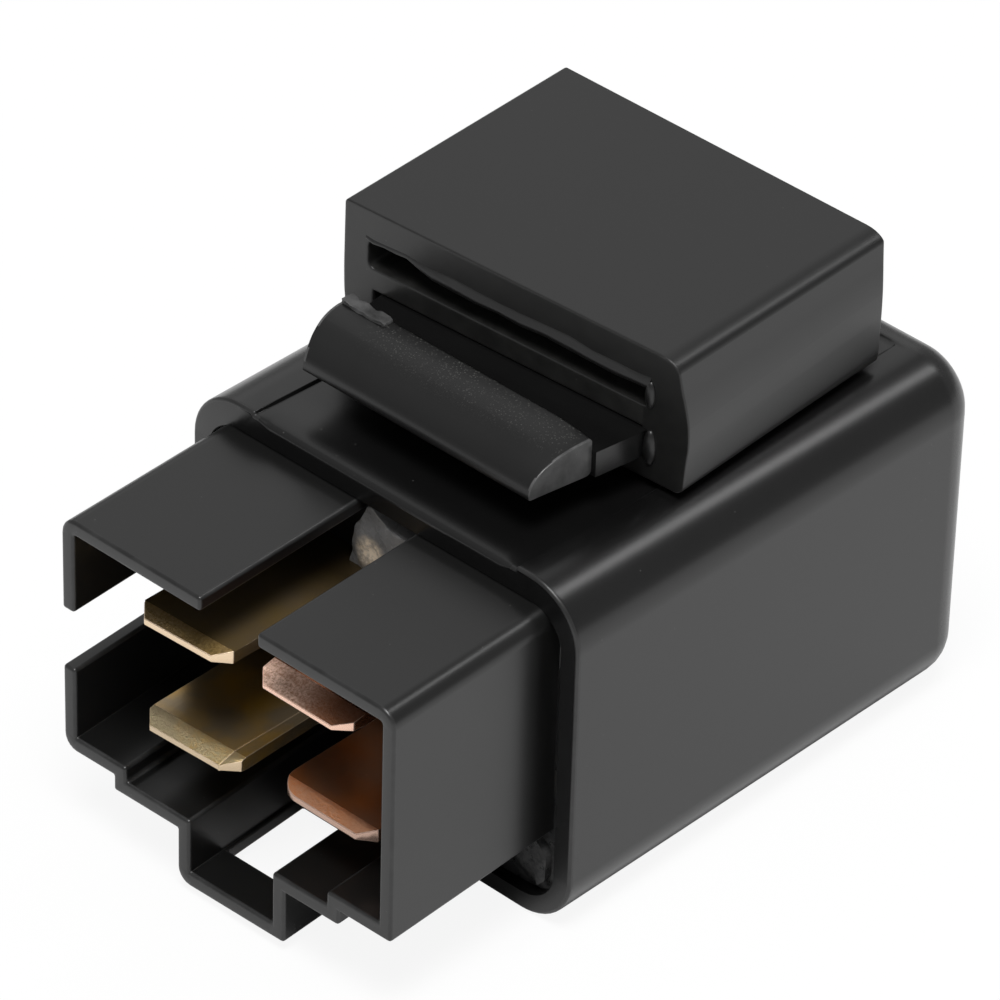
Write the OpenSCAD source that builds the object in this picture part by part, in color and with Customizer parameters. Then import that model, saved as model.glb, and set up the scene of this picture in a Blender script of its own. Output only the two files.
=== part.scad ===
// Automotive relay with four 6.3 mm blades and a rubber mounting sleeve.
// Right is +X, the connector faces -Y and the mounting tongue stands on the top, +Z.
// Lengths are millimetres. The origin is at the middle of the bottom.

/* [Case] */
// Width of the moulded can
case_w = 26.7; // [25.5:0.1:34]
// Depth of the can, from its mouth to its back
case_d = 30.4; // [29.6:0.1:40]
// Height of the can, without the mounting tongue
case_h = 20.9; // [20.6:0.1:28]
// Wall of the can
case_wall = 1.1; // [0.9:0.05:1.3]
// Radius of the four long edges of the can
case_edge_r = 3.3; // [2.4:0.1:4]
// Radius round the closed back of the can
case_back_r = 2; // [0.6:0.1:2.2]
// Softened edge round the mouth of the can
case_rim_r = 0.3; // [0.1:0.05:0.4]
// Width of the shallow channel along the top of the can
channel_w = 18; // [17.6:0.1:19]
// Depth of the shallow channel
channel_depth = 0.35; // [0.1:0.05:0.45]

/* [Mounting tongue] */
// Width of the tongue
tongue_w = 17.4; // [14:0.1:18]
// Thickness of the tongue
tongue_t = 1.2; // [0.9:0.05:1.6]
// Free height under the tongue, above the channel
tongue_lift = 2.35; // [2.1:0.05:3.2]
// Length of the post that joins the tongue to the can
post_len = 2.1; // [1.6:0.1:3]
// Distance of the post from the back of the can
post_back = 1.8; // [1.4:0.1:2.4]
// How much the post is set in from each side of the tongue
post_side = 1.4; // [0:0.1:2]
// Distance of the lip's front from the mouth of the can
lip_back = 2.3; // [1.5:0.1:3]
// Length of the lip along the tongue
lip_len = 4.2; // [3.4:0.1:4.6]
// Height of the lip
lip_h = 1.95; // [1.7:0.05:2.4]
// Width of the lip at its back
lip_w = 16.2; // [13:0.1:17]
// Width that the lip loses towards its front
lip_taper = 1; // [0:0.1:2]
// Drop of the lip's flat upper face over its length
lip_drop = 0.35; // [0.1:0.05:0.6]

/* [Rubber sleeve] */
// Width of the sleeve
sleeve_w = 21.8; // [21:0.1:24]
// Gap between the sleeve and the post that carries the tongue
sleeve_gap = 1.2; // [0.8:0.1:4]
// Rubber under the tongue
sleeve_floor = 1.75; // [1.4:0.05:1.85]
// Rubber between the tongue and the free slot
sleeve_shelf = 1.2; // [0.9:0.05:1.8]
// Rubber over the free slot
sleeve_roof = 1.95; // [1.5:0.05:2.6]
// Height of the free slot for the vehicle's metal tab
tab_slot_h = 1.6; // [1.3:0.05:2.2]
// Width of the free slot
tab_slot_w = 18.6; // [15:0.1:18.8]
// Radius of the sleeve's corners
sleeve_r = 1.5; // [0.8:0.1:1.8]
// How far the sleeve bulges on each side where the tongue stretches it
sleeve_bulge = 0.7; // [0.3:0.05:1]
// How far the bulge spreads up and down
bulge_spread = 2; // [1.2:0.1:2.6]
// Length of tongue that shows between the lip and the sleeve
sleeve_setback = 2.6; // [2:0.1:3]
// Clearance between the sleeve and the tongue
sleeve_fit = 0.04; // [0.02:0.01:0.08]

/* [Connector shroud] */
// Length of the shroud in front of the mouth
shroud_len = 11; // [10.6:0.1:13]
// Distance of the shroud's side from the can's side
shroud_step = 1.9; // [1.6:0.05:2.4]
// Wall of the shroud
shroud_wall = 0.85; // [0.7:0.05:1]
// Distance of the shroud's top below the can's top
shroud_drop = 1.55; // [1.55:0.05:2.2]
// Radius of the shroud's corners
shroud_r = 1; // [0.5:0.1:1.2]
// Distance of the underside of the side floors below the lower blades
side_floor_drop = 3; // [2.8:0.05:3.4]
// Width between the two steps of the floor
mid_floor_w = 15.8; // [13:0.1:17]
// Step from the side floors down to the middle floor
floor_step = 0.9; // [0.8:0.05:1.6]
// Width of the keyway channel below the floor
keyway_w = 7.5; // [6.5:0.1:8.5]
// Offset of the keyway to the right of the middle
keyway_x = 0.4; // [0:0.1:0.8]
// Length of the bridge across the front of the keyway's floor
keyway_bridge = 2.5; // [1.5:0.1:4]
// Width of the hole in the keyway's floor
keyway_hole_w = 5.2; // [4:0.1:5.4]
// Width of the slot in the shroud's top
top_slot_w = 3.9; // [3:0.1:5]
// Offset of the top slot to the right of the middle
top_slot_x = 0.25; // [0:0.05:0.8]
// Distance of the window's lower edge above the lower blades
window_lift = 1.35; // [0:0.05:2]
// Height of the window
window_h = 3.3; // [2:0.1:4]
// Wall that is left behind the window and behind the keyway's hole
window_rest = 3; // [2:0.1:5]

/* [Base] */
// Distance of the base plate behind the mouth
plate_set = 1.4; // [1.2:0.05:1.6]
// Thickness of the base plate
plate_t = 2.6; // [2:0.1:2.8]
// Clearance between the base plate and the can
plate_fit = 0.1; // [0.05:0.01:0.15]
// Thickness of the platform that carries the magnet
platform_t = 1; // [0.8:0.05:1]
// Width of the platform
platform_w = 15; // [14.4:0.1:18]
// Thickness of the two ribs along the platform
rib_t = 1; // [0.7:0.1:1.2]
// Height of the platform above the can's floor
platform_lift = 0.3; // [0.2:0.05:0.3]
// Distance of the sealing resin's face behind the mouth
resin_set = 0.7; // [0.5:0.05:0.9]
// Thickness of the pale resin over the terminal roots
root_resin_t = 0.9; // [0.5:0.05:1.2]

/* [Terminals] */
// Width of a blade
blade_w = 6.3; // [4.8:0.1:6.6]
// Thickness of a blade
blade_t = 0.8; // [0.6:0.05:0.9]
// Cut on a blade's two front corners
blade_corner = 0.8; // [0.4:0.1:1.4]
// Length of the bevel on a blade's front edge
blade_bevel = 1.1; // [0.5:0.1:2]
// Thickness of a blade's front edge
blade_edge_t = 0.3; // [0.2:0.05:0.4]
// Sideways distance between the two columns of blades
column_pitch = 8.4; // [8:0.1:9]
// Distance of the upper row's middle below the can's top
row_drop = 6.2; // [6.1:0.05:6.3]
// Height between the two rows
row_pitch = 6.4; // [6.2:0.05:6.6]
// Distance of the blade tips behind the shroud's front
tip_set = 1; // [0.5:0.1:2]
// How much farther right and back the lower right blade sits
common_shift = 0.8; // [0:0.1:1]
// Clearance of a blade in its slot in the base
slot_fit = 0.04; // [0.02:0.01:0.08]

/* [Magnet] */
// Room for the contacts between the base plate and the yoke
contact_room = 5; // [4.8:0.1:5.6]
// Room for the return spring between the yoke's leg and the can's back
tail_room = 7.2; // [6.8:0.1:8]
// Distance of the pole's face below the can's top
pole_drop = 5.7; // [5.6:0.05:6]
// Thickness of the yoke and its leg
yoke_t = 1.4; // [1.1:0.1:1.6]
// How far the bobbin's flanges stand out past the yoke's sides
yoke_step = 0.7; // [0.4:0.05:1.4]
// Diameter of the core as a share of the bobbin's flanges
core_share = 0.4; // [0.32:0.01:0.45]
// Diameter of the core's pole head as a share of the bobbin's flanges
pole_share = 0.65; // [0.56:0.01:0.75]
// Thickness of the pole head
pole_t = 1; // [0.8:0.1:1.3]
// Thickness of the bobbin's flanges and tube
bobbin_wall = 0.7; // [0.5:0.05:0.9]
// How far the flanges stand out past the winding
flange_step = 0.6; // [0.3:0.05:1]
// Clearance between the core, the bobbin and the winding
coil_fit = 0.05; // [0.02:0.01:0.08]
// Distance between the bobbin and the yoke's leg
leg_gap = 0.2; // [0.1:0.05:0.4]
// Distance of the upper lead's start below the pole head
lead_drop = 1.6; // [1.2:0.1:2.4]
// Distance of the lower lead's start above the yoke's foot
lead_lift = 2.2; // [1.2:0.1:2.6]

/* [Armature] */
// Thickness of the armature
armature_t = 1.2; // [1:0.1:1.3]
// How far the yoke stands out past the armature's sides
armature_step = 0.5; // [0.2:0.05:0.9]
// Angle of the open armature above the pole
armature_open = 2.6; // [2:0.1:3]
// Running gap between the armature and the yoke's edge
hinge_gap = 0.02; // [0.01:0.01:0.04]
// Height of the yoke's two ears above its top
ear_h = 1.6; // [1.3:0.1:2]
// Width of an ear
ear_w = 1.3; // [1:0.1:1.6]
// Clearance round an ear
ear_fit = 0.2; // [0.15:0.01:0.3]
// Length of the armature's tail behind the yoke
tail_len = 3.8; // [3.2:0.1:4]
// Width of the tail and of the spring lug
tail_w = 3; // [2.4:0.1:4]
// Thickness of the contact spring
leaf_t = 0.3; // [0.2:0.05:0.4]
// Width of the contact spring's tip
leaf_tip_w = 4; // [3.2:0.1:5]
// Diameter of the two spring rivets
rivet_d = 1.6; // [1.2:0.1:2]
// Sideways distance between the two rivets as a share of the armature's width
rivet_share = 0.48; // [0.42:0.01:0.54]
// Distance of the rivets behind the coil's axis
rivet_back = 2; // [1:0.1:3]
// Length of contact spring behind the rivets
leaf_past = 2; // [1.6:0.1:2.4]

/* [Contacts] */
// Diameter of the contacts
contact_d = 2.6; // [2:0.1:3]
// Thickness of the moving contact's head
moving_head_t = 0.6; // [0.5:0.05:0.7]
// Distance of the contacts behind the base plate
contact_back = 3; // [2.4:0.1:3.4]
// Sideways place of the contacts
contact_x = 3; // [2.6:0.1:3.6]
// Gap between the stop and the resting contact spring
stop_gap = 0.05; // [0.03:0.01:0.1]

/* [Return spring] */
// Outer diameter of the return spring
spring_d = 2.8; // [2.4:0.1:3.2]
// Wire of the return spring
spring_wire = 0.4; // [0.3:0.05:0.5]
// Number of coils
spring_turns = 10; // [8:1:12]
// Diameter of the holes that the spring hooks into
hook_hole_d = 1; // [0.9:0.05:1.2]

/* [Suppression resistor] */
// Diameter of the resistor's body
resistor_d = 1.8; // [1.4:0.1:2.2]
// Length of the resistor's body
resistor_len = 3.4; // [2.6:0.1:3.8]
// Wire of the resistor's leads
resistor_wire = 0.5; // [0.4:0.05:0.6]
// Wire of the coil's leads
lead_wire = 0.3; // [0.2:0.05:0.4]

/* [Hidden] */
$fn = 48;

// A cut reaches this far past the face that it opens.
over = 1;
// The whole part is centred front to back, so the mouth lies here.
mouth_y = (shroud_len - case_d) / 2;
// The underside of the tongue, and the levels of the sleeve round it.
channel_z = case_h - channel_depth;
tongue_z = channel_z + tongue_lift;
tongue_top = tongue_z + tongue_t;
sleeve_low = tongue_z - sleeve_fit - sleeve_floor;
tab_slot_z = tongue_top + sleeve_fit + sleeve_shelf;
sleeve_top = tab_slot_z + tab_slot_h + sleeve_roof;
sleeve_y = lip_back + lip_len + sleeve_setback;
post_y = case_d - post_back - post_len;
sleeve_end = post_y - sleeve_gap;
// The base stands in the mouth, with its plate between these two depths.
plate_y = plate_set;
plate_back_y = plate_y + plate_t;
// The resin stops this short of its neighbours, so that no faces coincide.
resin_fit = 0.01;
// The blades' places.
column_x = column_pitch / 2;
row_high = case_h - row_drop;
row_low = row_high - row_pitch;
tip_y = tip_set - shroud_len;
common_x = column_x + common_shift;
// The shroud round the blades, with its three levels of floor.
shroud_w = case_w - 2 * shroud_step;
shroud_top = case_h - shroud_drop;
side_floor = row_low - side_floor_drop;
mid_floor = side_floor - floor_step;
keyway_low = case_wall + plate_fit;
window_low = row_low + window_lift;
window_end = -window_rest;
// The platform, and the magnet stacked on it.
platform_z = case_wall + platform_lift;
foot_z = platform_z + platform_t;
bobbin_z = foot_z + yoke_t;
pole_top = case_h - pole_drop;
pole_z = pole_top - pole_t;
bobbin_h = pole_z - bobbin_z;
foot_y = plate_back_y + contact_room;
hinge_y = case_d - tail_room;
hinge_z = pole_top;
leg_y = hinge_y - yoke_t;
coil_back = (foot_y + leg_y) / 2;
bobbin_d = leg_y - foot_y - 2 * leg_gap;
winding_r = bobbin_d / 2 - flange_step;
yoke_w = bobbin_d - 2 * yoke_step;
core_d = core_share * bobbin_d;
shank_d = 0.8 * core_d;
pole_d = pole_share * bobbin_d;
armature_w = yoke_w - 2 * armature_step;
armature_z = pole_top + hinge_gap;
armature_y = foot_y + 0.6;
ear_x = armature_w / 2 - ear_w;
// The contact spring lies on the armature, and the contacts meet in front of it.
leaf_z = armature_z + armature_t;
contact_y = plate_back_y + contact_back;
moving_z = leaf_z - moving_head_t;
tail_top_high = row_high + blade_t / 2;
tail_y = contact_y + contact_d / 2 + 0.4;
rivet_x = rivet_share * armature_w / 2;
rivet_y = coil_back + rivet_back;
leaf_end = rivet_y + leaf_past;
stop_z = leaf_z + leaf_t + stop_gap + (hinge_y - contact_y + leaf_tip_w / 2) * sin(armature_open);
stop_t = 0.7;
stop_y = plate_y + plate_t * 0.3;
// The return spring stands behind the yoke's leg, between the lug and the tail.
spring_y = hinge_y + tail_len - 1.3;
lug_z = bobbin_z + 0.6;
lug_t = 0.9;
spring_low = lug_z + lug_t + 0.9;
spring_high = armature_z - 1.2;
hook_end = 0.9;
// The coil's leads run from the winding to posts on the two brass terminals.
post_w = 1.2;
post_x = -column_x - blade_w / 2 + post_w / 2;
post_end = tail_y + 1.2;
lead_x = -winding_r * sin(50) - lead_wire * 0.7;
lead_y = coil_back - winding_r * cos(50) - lead_wire * 0.7;
turns_gap = 0.25;
turns_len = 0.9;
resistor_x = -column_x;
resistor_y = plate_back_y + 1.9;
lead_seat = 0.5;

// Moves a piece that is drawn from the mouth to its place in the part.
module from_mouth() {
    translate([0, mouth_y, 0]) children();
}

// Extrudes an outline drawn as width and height back along the depth, from y0 to y1.
module along_depth(y0, y1) {
    translate([0, y1, 0]) rotate([90, 0, 0]) linear_extrude(y1 - y0) children();
}

// Extrudes an outline drawn as depth and height across the width, from x0 to x1.
module across_width(x0, x1) {
    translate([x0, 0, 0]) rotate([90, 0, 90]) linear_extrude(x1 - x0) children();
}

// A rectangle from one corner to the other, with rounded corners.
module rounded_rect(x0, x1, z0, z1, r) {
    translate([x0 + r, z0]) square([x1 - x0 - 2 * r, z1 - z0]);
    translate([x0, z0 + r]) square([x1 - x0, z1 - z0 - 2 * r]);
    for (x = [x0 + r, x1 - r], z = [z0 + r, z1 - r]) translate([x, z]) circle(r);
}

// Turns a piece about the armature's knife edge: a lifts its front by that many degrees.
module lifted(a) {
    translate([0, hinge_y, hinge_z]) rotate([-a, 0, 0]) translate([0, -hinge_y, -hinge_z]) children();
}

// A round wire of diameter d along a list of points.
function unit(v) = v / norm(v);
function carried(n, t) = unit(n - (n * t) * t);
function directions(p) = [for (i = [0:len(p) - 1]) unit(p[min(i + 1, len(p) - 1)] - p[max(i - 1, 0)])];
function normals(t, first) = [
    for (i = 0, n = carried(first, t[0]); i < len(t); i = i + 1, n = i < len(t) ? carried(n, t[i]) : n) n
];
function ring(p, t, n, r, sides) = [
    for (j = [0:sides - 1]) p + r * (cos(360 * j / sides) * n + sin(360 * j / sides) * cross(t, n))
];
module wire(p, d, first, sides = 8) {
    t = directions(p);
    n = normals(t, first);
    points = [for (i = [0:len(p) - 1]) each ring(p[i], t[i], n[i], d / 2, sides)];
    last = (len(p) - 1) * sides;
    sleeves = [
        for (i = [0:len(p) - 2], j = [0:sides - 1])
            let (a = i * sides + j, b = i * sides + (j + 1) % sides) [b, a, a + sides, b + sides]
    ];
    start_cap = [for (j = [0:sides - 1]) j];
    end_cap = [for (j = [sides - 1:-1:0]) last + j];
    polyhedron(points, concat([start_cap, end_cap], sleeves), convexity = 10);
}

// One corner of the can: a button with a soft front edge and a rounder back edge.
module can_corner(r, front_r, back_r) {
    rotate([-90, 0, 0]) rotate_extrude($fn = 64) intersection() {
        square([r, case_d]);
        union() {
            square([r - back_r, case_d]);
            translate([0, front_r]) square([r, case_d - front_r - back_r]);
            square([r - front_r, case_d / 2]);
            translate([r - front_r, front_r]) circle(front_r, $fn = 24);
            translate([r - back_r, case_d - back_r]) circle(back_r, $fn = 32);
        }
    }
}

module can_outside() {
    hull() {
        for (side = [-1, 1], z = [case_edge_r, case_h - case_edge_r])
            translate([side * (case_w / 2 - case_edge_r), 0, z])
                can_corner(case_edge_r, case_rim_r, case_back_r);
    }
}

// The lip: a flat upper face that falls forward, then a round nose down to its underside.
module lip_outline() {
    nose = lip_len / 2;
    nose_h = lip_h - lip_drop;
    arc = [for (a = [90:-9:0]) [lip_back + nose - nose * sin(90 - a), tongue_z + nose_h * sin(a)]];
    polygon(concat(arc, [[lip_back + lip_len, tongue_z], [lip_back + lip_len, tongue_z + lip_h]]));
}

module lip() {
    back = lip_w / 2;
    front = back - lip_taper / 2;
    intersection() {
        across_width(-back, back) lip_outline();
        translate([0, 0, tongue_z - over]) linear_extrude(lip_h + 2 * over) polygon([
            [-front, lip_back], [front, lip_back], [back, lip_back + lip_len], [-back, lip_back + lip_len]
        ]);
    }
}

module tongue() {
    half = tongue_w / 2;
    post_half = half - post_side;
    lip_end = lip_back + lip_len;
    fillet = 0.8;
    across_width(-half, half) translate([lip_end, tongue_z])
        square([post_y - lip_end, tongue_t]);
    across_width(-post_half, post_half) {
        translate([post_y, channel_z - channel_depth])
            square([post_len, tongue_top - channel_z + channel_depth]);
        difference() {
            translate([post_y - fillet, tongue_z - fillet]) square(fillet);
            translate([post_y - fillet, tongue_z - fillet]) circle(fillet);
        }
    }
    // The tongue runs on under the lip, no wider than the lip's front.
    neck = lip_w / 2 - lip_taper / 2;
    across_width(-neck, neck) translate([lip_end - lip_len / 2, tongue_z])
        square([lip_len / 2, tongue_t]);
    lip();
}

module case() {
    color("#2a2a2b") from_mouth() {
        difference() {
            can_outside();
            along_depth(-over, case_d - case_wall) rounded_rect(
                case_wall - case_w / 2, case_w / 2 - case_wall,
                case_wall, case_h - channel_depth - case_wall, case_edge_r - case_wall);
            translate([-channel_w / 2, -over, channel_z])
                cube([channel_w, case_d - post_back + over, channel_depth + over]);
        }
        tongue();
    }
}

// The sleeve's sides bulge smoothly where the tongue is pushed in.
function bulge(z) = sleeve_bulge * exp(-pow((z - tongue_z - tongue_t / 2) / bulge_spread, 2));
function sleeve_side(z) = sleeve_w / 2 + bulge(z);
function sleeve_corner(z, a) = [sleeve_side(z) + sleeve_r * (cos(a) - 1), z + sleeve_r * sin(a)];
module sleeve_outline() {
    low = sleeve_low + sleeve_r;
    high = sleeve_top - sleeve_r;
    steps = 14;
    right = concat(
        [for (a = [-90:15:-15]) sleeve_corner(low, a)],
        [for (k = [0:steps]) sleeve_corner(low + (high - low) * k / steps, 0)],
        [for (a = [15:15:90]) sleeve_corner(high, a)]);
    left = [for (k = [len(right) - 1:-1:0]) [-right[k][0], right[k][1]]];
    polygon(concat(right, left));
}

module rubber_sleeve() {
    tongue_half = tongue_w / 2 + sleeve_fit;
    slot_r = 0.3;
    color("#3b3b3c") from_mouth() along_depth(sleeve_y, sleeve_end) difference() {
        sleeve_outline();
        translate([-tongue_half, tongue_z - sleeve_fit])
            square([2 * tongue_half, tongue_t + 2 * sleeve_fit]);
        rounded_rect(-tab_slot_w / 2, tab_slot_w / 2, tab_slot_z, tab_slot_z + tab_slot_h, slot_r);
    }
}

// The shroud's outline, drawn smaller by inset to give its inside.
module shroud_outline(inset) {
    half = shroud_w / 2 - inset;
    mid = mid_floor_w / 2 - inset;
    key = keyway_w / 2 - inset;
    top = shroud_top - inset;
    corner = max(shroud_r - inset, 0.2);
    rounded_rect(-half, half, side_floor + inset, top, corner);
    translate([-mid, mid_floor + inset]) square([2 * mid, top - mid_floor - inset - corner]);
    translate([keyway_x - key, keyway_low + inset]) square([2 * key, top - keyway_low - inset - corner]);
}

module shroud() {
    half = shroud_w / 2;
    difference() {
        union() {
            along_depth(-shroud_len, 0) difference() {
                shroud_outline(0);
                shroud_outline(shroud_wall);
            }
            // Inside the mouth the shroud keeps clear of the can's rounded corners.
            along_depth(0, plate_y + plate_t / 2) difference() {
                intersection() {
                    shroud_outline(0);
                    mouth_outline(plate_fit);
                }
                shroud_outline(shroud_wall);
            }
        }
        // The slot in the top, open at the front.
        translate([top_slot_x - top_slot_w / 2, -shroud_len - over, shroud_top - shroud_wall - over])
            cube([top_slot_w, shroud_len + resin_set + over, shroud_wall + 2 * over]);
        // The window in the left wall, open at the front.
        translate([-half - over, -shroud_len - over, window_low])
            cube([shroud_wall + 2 * over, shroud_len + window_end + over, window_h]);
        // The hole in the keyway's floor, behind its bridge.
        translate([keyway_x - keyway_hole_w / 2, keyway_bridge - shroud_len, keyway_low - over])
            cube([keyway_hole_w, shroud_len + window_end - keyway_bridge, shroud_wall + 2 * over]);
    }
}

// The outline of the can's mouth, drawn smaller by inset.
module mouth_outline(inset) {
    rounded_rect(
        case_wall - case_w / 2 + inset, case_w / 2 - case_wall - inset,
        case_wall + inset, case_h - channel_depth - case_wall - inset, case_edge_r - case_wall - inset);
}

// The hole for one blade through the base plate.
module blade_slot(x, z) {
    half = blade_w / 2 + slot_fit;
    translate([x - half, plate_y - over, z - blade_t / 2 - slot_fit])
        cube([2 * half, plate_t + 2 * over, blade_t + 2 * slot_fit]);
}

module connector_base() {
    color("#1f1f20") from_mouth() {
        difference() {
            union() {
                along_depth(plate_y, plate_back_y) mouth_outline(plate_fit);
                shroud();
            }
            blade_slot(-column_x, row_high);
            blade_slot(-column_x, row_low);
            blade_slot(column_x, row_high);
            blade_slot(common_x, row_low);
            // The stop bracket's seat.
            translate([contact_x - leaf_tip_w / 2 - slot_fit, stop_y, stop_z - slot_fit])
                cube([leaf_tip_w + 2 * slot_fit, plate_t, stop_t + 2 * slot_fit]);
        }
        // The platform reaches back under the yoke, and two side ribs stiffen it.
        root_y = plate_back_y - plate_t / 4;
        translate([-platform_w / 2, root_y, platform_z])
            cube([platform_w, hinge_y - root_y, platform_t]);
        for (side = [-1, 1])
            translate([side * (platform_w - rib_t) / 2 - rib_t / 2, root_y, platform_z])
                cube([rib_t, hinge_y - root_y, platform_t + yoke_t]);
    }
}

// Dark resin that seals the gap between the can's mouth and the shroud.
module sealing_resin() {
    color("#17171a") from_mouth() along_depth(resin_set, plate_y) difference() {
        mouth_outline(resin_fit);
        shroud_outline(-resin_fit);
    }
}

// Pale resin over the terminal roots, inside the shroud.
module terminal_resin() {
    half = top_slot_w / 2 + 1.4;
    low = row_low + row_pitch / 2;
    high = shroud_top - shroud_wall - resin_fit;
    color("#b8ad9a") from_mouth() along_depth(plate_y - root_resin_t, plate_y) difference() {
        translate([top_slot_x, 0]) rounded_rect(-half, half, low, high, 1);
        for (x = [-column_x, column_x])
            translate([x, row_high])
                square([blade_w + 2 * slot_fit, blade_t + 2 * slot_fit], center = true);
    }
}

// A blade seen from above, with cut front corners, running back to y1.
module blade_plan(x, y0, y1) {
    half = blade_w / 2;
    polygon([
        [x - half + blade_corner, y0], [x + half - blade_corner, y0], [x + half, y0 + blade_corner],
        [x + half, y1], [x - half, y1], [x - half, y0 + blade_corner]
    ]);
}

// A blade seen from the side, bevelled above and below at its front edge.
module blade_side(z, y0, y1) {
    thick = blade_t / 2;
    thin = blade_edge_t / 2;
    polygon([
        [y0, z - thin], [y0 + blade_bevel, z - thick], [y1, z - thick],
        [y1, z + thick], [y0 + blade_bevel, z + thick], [y0, z + thin]
    ]);
}

module blade(x, z, y0, y1) {
    intersection() {
        translate([0, 0, z - blade_t]) linear_extrude(2 * blade_t) blade_plan(x, y0, y1);
        across_width(x - blade_w, x + blade_w) blade_side(z, y0, y1);
    }
}

// A coil terminal: the blade, and a narrow post behind it for the coil's lead.
module coil_terminal(z) {
    blade(-column_x, z, tip_y, resistor_y + post_w);
    translate([post_x - post_w / 2, resistor_y, z - blade_t / 2])
        cube([post_w, post_end - resistor_y, blade_t]);
}

module resistor_hole(z) {
    translate([resistor_x, resistor_y, z - blade_t]) cylinder(d = resistor_wire + 0.1, h = 2 * blade_t);
}

module coil_terminal_upper() {
    color("#b3923f") from_mouth() difference() {
        coil_terminal(row_high);
        resistor_hole(row_high);
    }
}

module coil_terminal_lower() {
    color("#b3923f") from_mouth() difference() {
        coil_terminal(row_low);
        resistor_hole(row_low);
    }
}

// The contact terminal runs straight in, narrows and holds the fixed contact in a bore.
module contact_terminal() {
    inner_w = 5;
    color("#a3573a") from_mouth() difference() {
        union() {
            blade(column_x, row_high, tip_y, plate_back_y + 0.8);
            translate([contact_x - inner_w / 2, plate_back_y, row_high - blade_t / 2])
                cube([inner_w, tail_y - plate_back_y, blade_t]);
        }
        translate([contact_x, contact_y, row_high - blade_t]) cylinder(d = contact_d / 2, h = 2 * blade_t);
    }
}

// The common terminal is folded down behind the base and meets the yoke's foot.
module common_terminal() {
    fold_y = plate_back_y + 1;
    fold_x = common_x - blade_w / 2;
    fold_w = platform_w / 2 - rib_t - 0.25 - fold_x;
    color("#a3573a") from_mouth() {
        blade(common_x, row_low, tip_y + common_shift, fold_y + blade_t);
        translate([fold_x, fold_y, foot_z]) cube([fold_w, blade_t, row_low - foot_z]);
        translate([fold_x, fold_y, foot_z]) cube([fold_w, foot_y - fold_y, blade_t]);
    }
}

// The yoke: a foot under the coil, a leg behind it, two ears and the spring lug.
module yoke() {
    half = yoke_w / 2;
    bend_r = 0.9;
    color("#9a9a98") from_mouth() difference() {
        union() {
            across_width(-half, half) difference() {
                union() {
                    translate([foot_y, foot_z]) square([hinge_y - foot_y, yoke_t]);
                    translate([leg_y, foot_z]) square([yoke_t, hinge_z - foot_z]);
                }
                // The outside of the bend.
                difference() {
                    translate([hinge_y - bend_r, foot_z - over]) square([bend_r + over, bend_r + over]);
                    translate([hinge_y - bend_r, foot_z + bend_r]) circle(bend_r);
                }
            }
            for (side = [-1, 1])
                translate([side * (ear_x + ear_w / 2) - ear_w / 2, leg_y, hinge_z - 0.5])
                    cube([ear_w, yoke_t, ear_h + 0.5]);
            translate([-tail_w / 2, hinge_y - 0.3, lug_z]) cube([tail_w, tail_len + 0.3, lug_t]);
        }
        translate([0, coil_back, foot_z - over])
            cylinder(d = shank_d + 2 * coil_fit, h = yoke_t + 2 * over);
        translate([0, spring_y, lug_z - over]) cylinder(d = hook_hole_d, h = lug_t + 2 * over);
    }
}

// The core: a riveted shank in the foot, the body in the bobbin and the pole head.
module core() {
    color("#b4b4b0") from_mouth() translate([0, coil_back, 0]) {
        translate([0, 0, foot_z]) cylinder(d = shank_d, h = yoke_t);
        translate([0, 0, bobbin_z]) cylinder(d = core_d, h = bobbin_h);
        translate([0, 0, pole_z]) cylinder(d = pole_d, h = pole_t);
    }
}

module bobbin() {
    bore = core_d / 2 + coil_fit;
    tube = bore + bobbin_wall;
    color("#3a4a3c") from_mouth() translate([0, coil_back, bobbin_z]) rotate_extrude() {
        translate([bore, 0]) square([bobbin_d / 2 - bore, bobbin_wall]);
        translate([bore, 0]) square([tube - bore, bobbin_h]);
        translate([bore, bobbin_h - bobbin_wall]) square([bobbin_d / 2 - bore, bobbin_wall]);
    }
}

// The winding, with its ends eased where the last turns fall in.
module coil_winding() {
    inner = core_d / 2 + 2 * coil_fit + bobbin_wall;
    low = bobbin_wall + coil_fit;
    high = bobbin_h - bobbin_wall - coil_fit;
    ease = 0.35;
    color("#7a3b1c") from_mouth() translate([0, coil_back, bobbin_z]) rotate_extrude() polygon([
        [inner, low], [winding_r - ease, low], [winding_r, low + ease],
        [winding_r, high - ease], [winding_r - ease, high], [inner, high]
    ]);
}

// A lead leaves the winding, crosses to its post and ends in turns round it.
turns_end = 900;
function post_turns(z, r) = [
    for (a = [0:30:turns_end])
        [post_x + r * sin(a), post_end - turns_gap - a / turns_end * turns_len, z - r * cos(a)]
];
function lead_path(z, start_z) = concat(
    [[lead_x, lead_y, start_z], [lead_x - 2 * lead_wire, lead_y - 2 * lead_wire, (start_z + z) / 2]],
    post_turns(z, norm([post_w, blade_t]) / 2 + lead_wire / 2 + 0.02));

module coil_lead_upper() {
    color("#b5651d") from_mouth() wire(lead_path(row_high, pole_z - lead_drop), lead_wire, [0, 0, 1]);
}

module coil_lead_lower() {
    color("#b5651d") from_mouth() wire(lead_path(row_low, bobbin_z + lead_lift), lead_wire, [0, 0, 1]);
}

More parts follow.
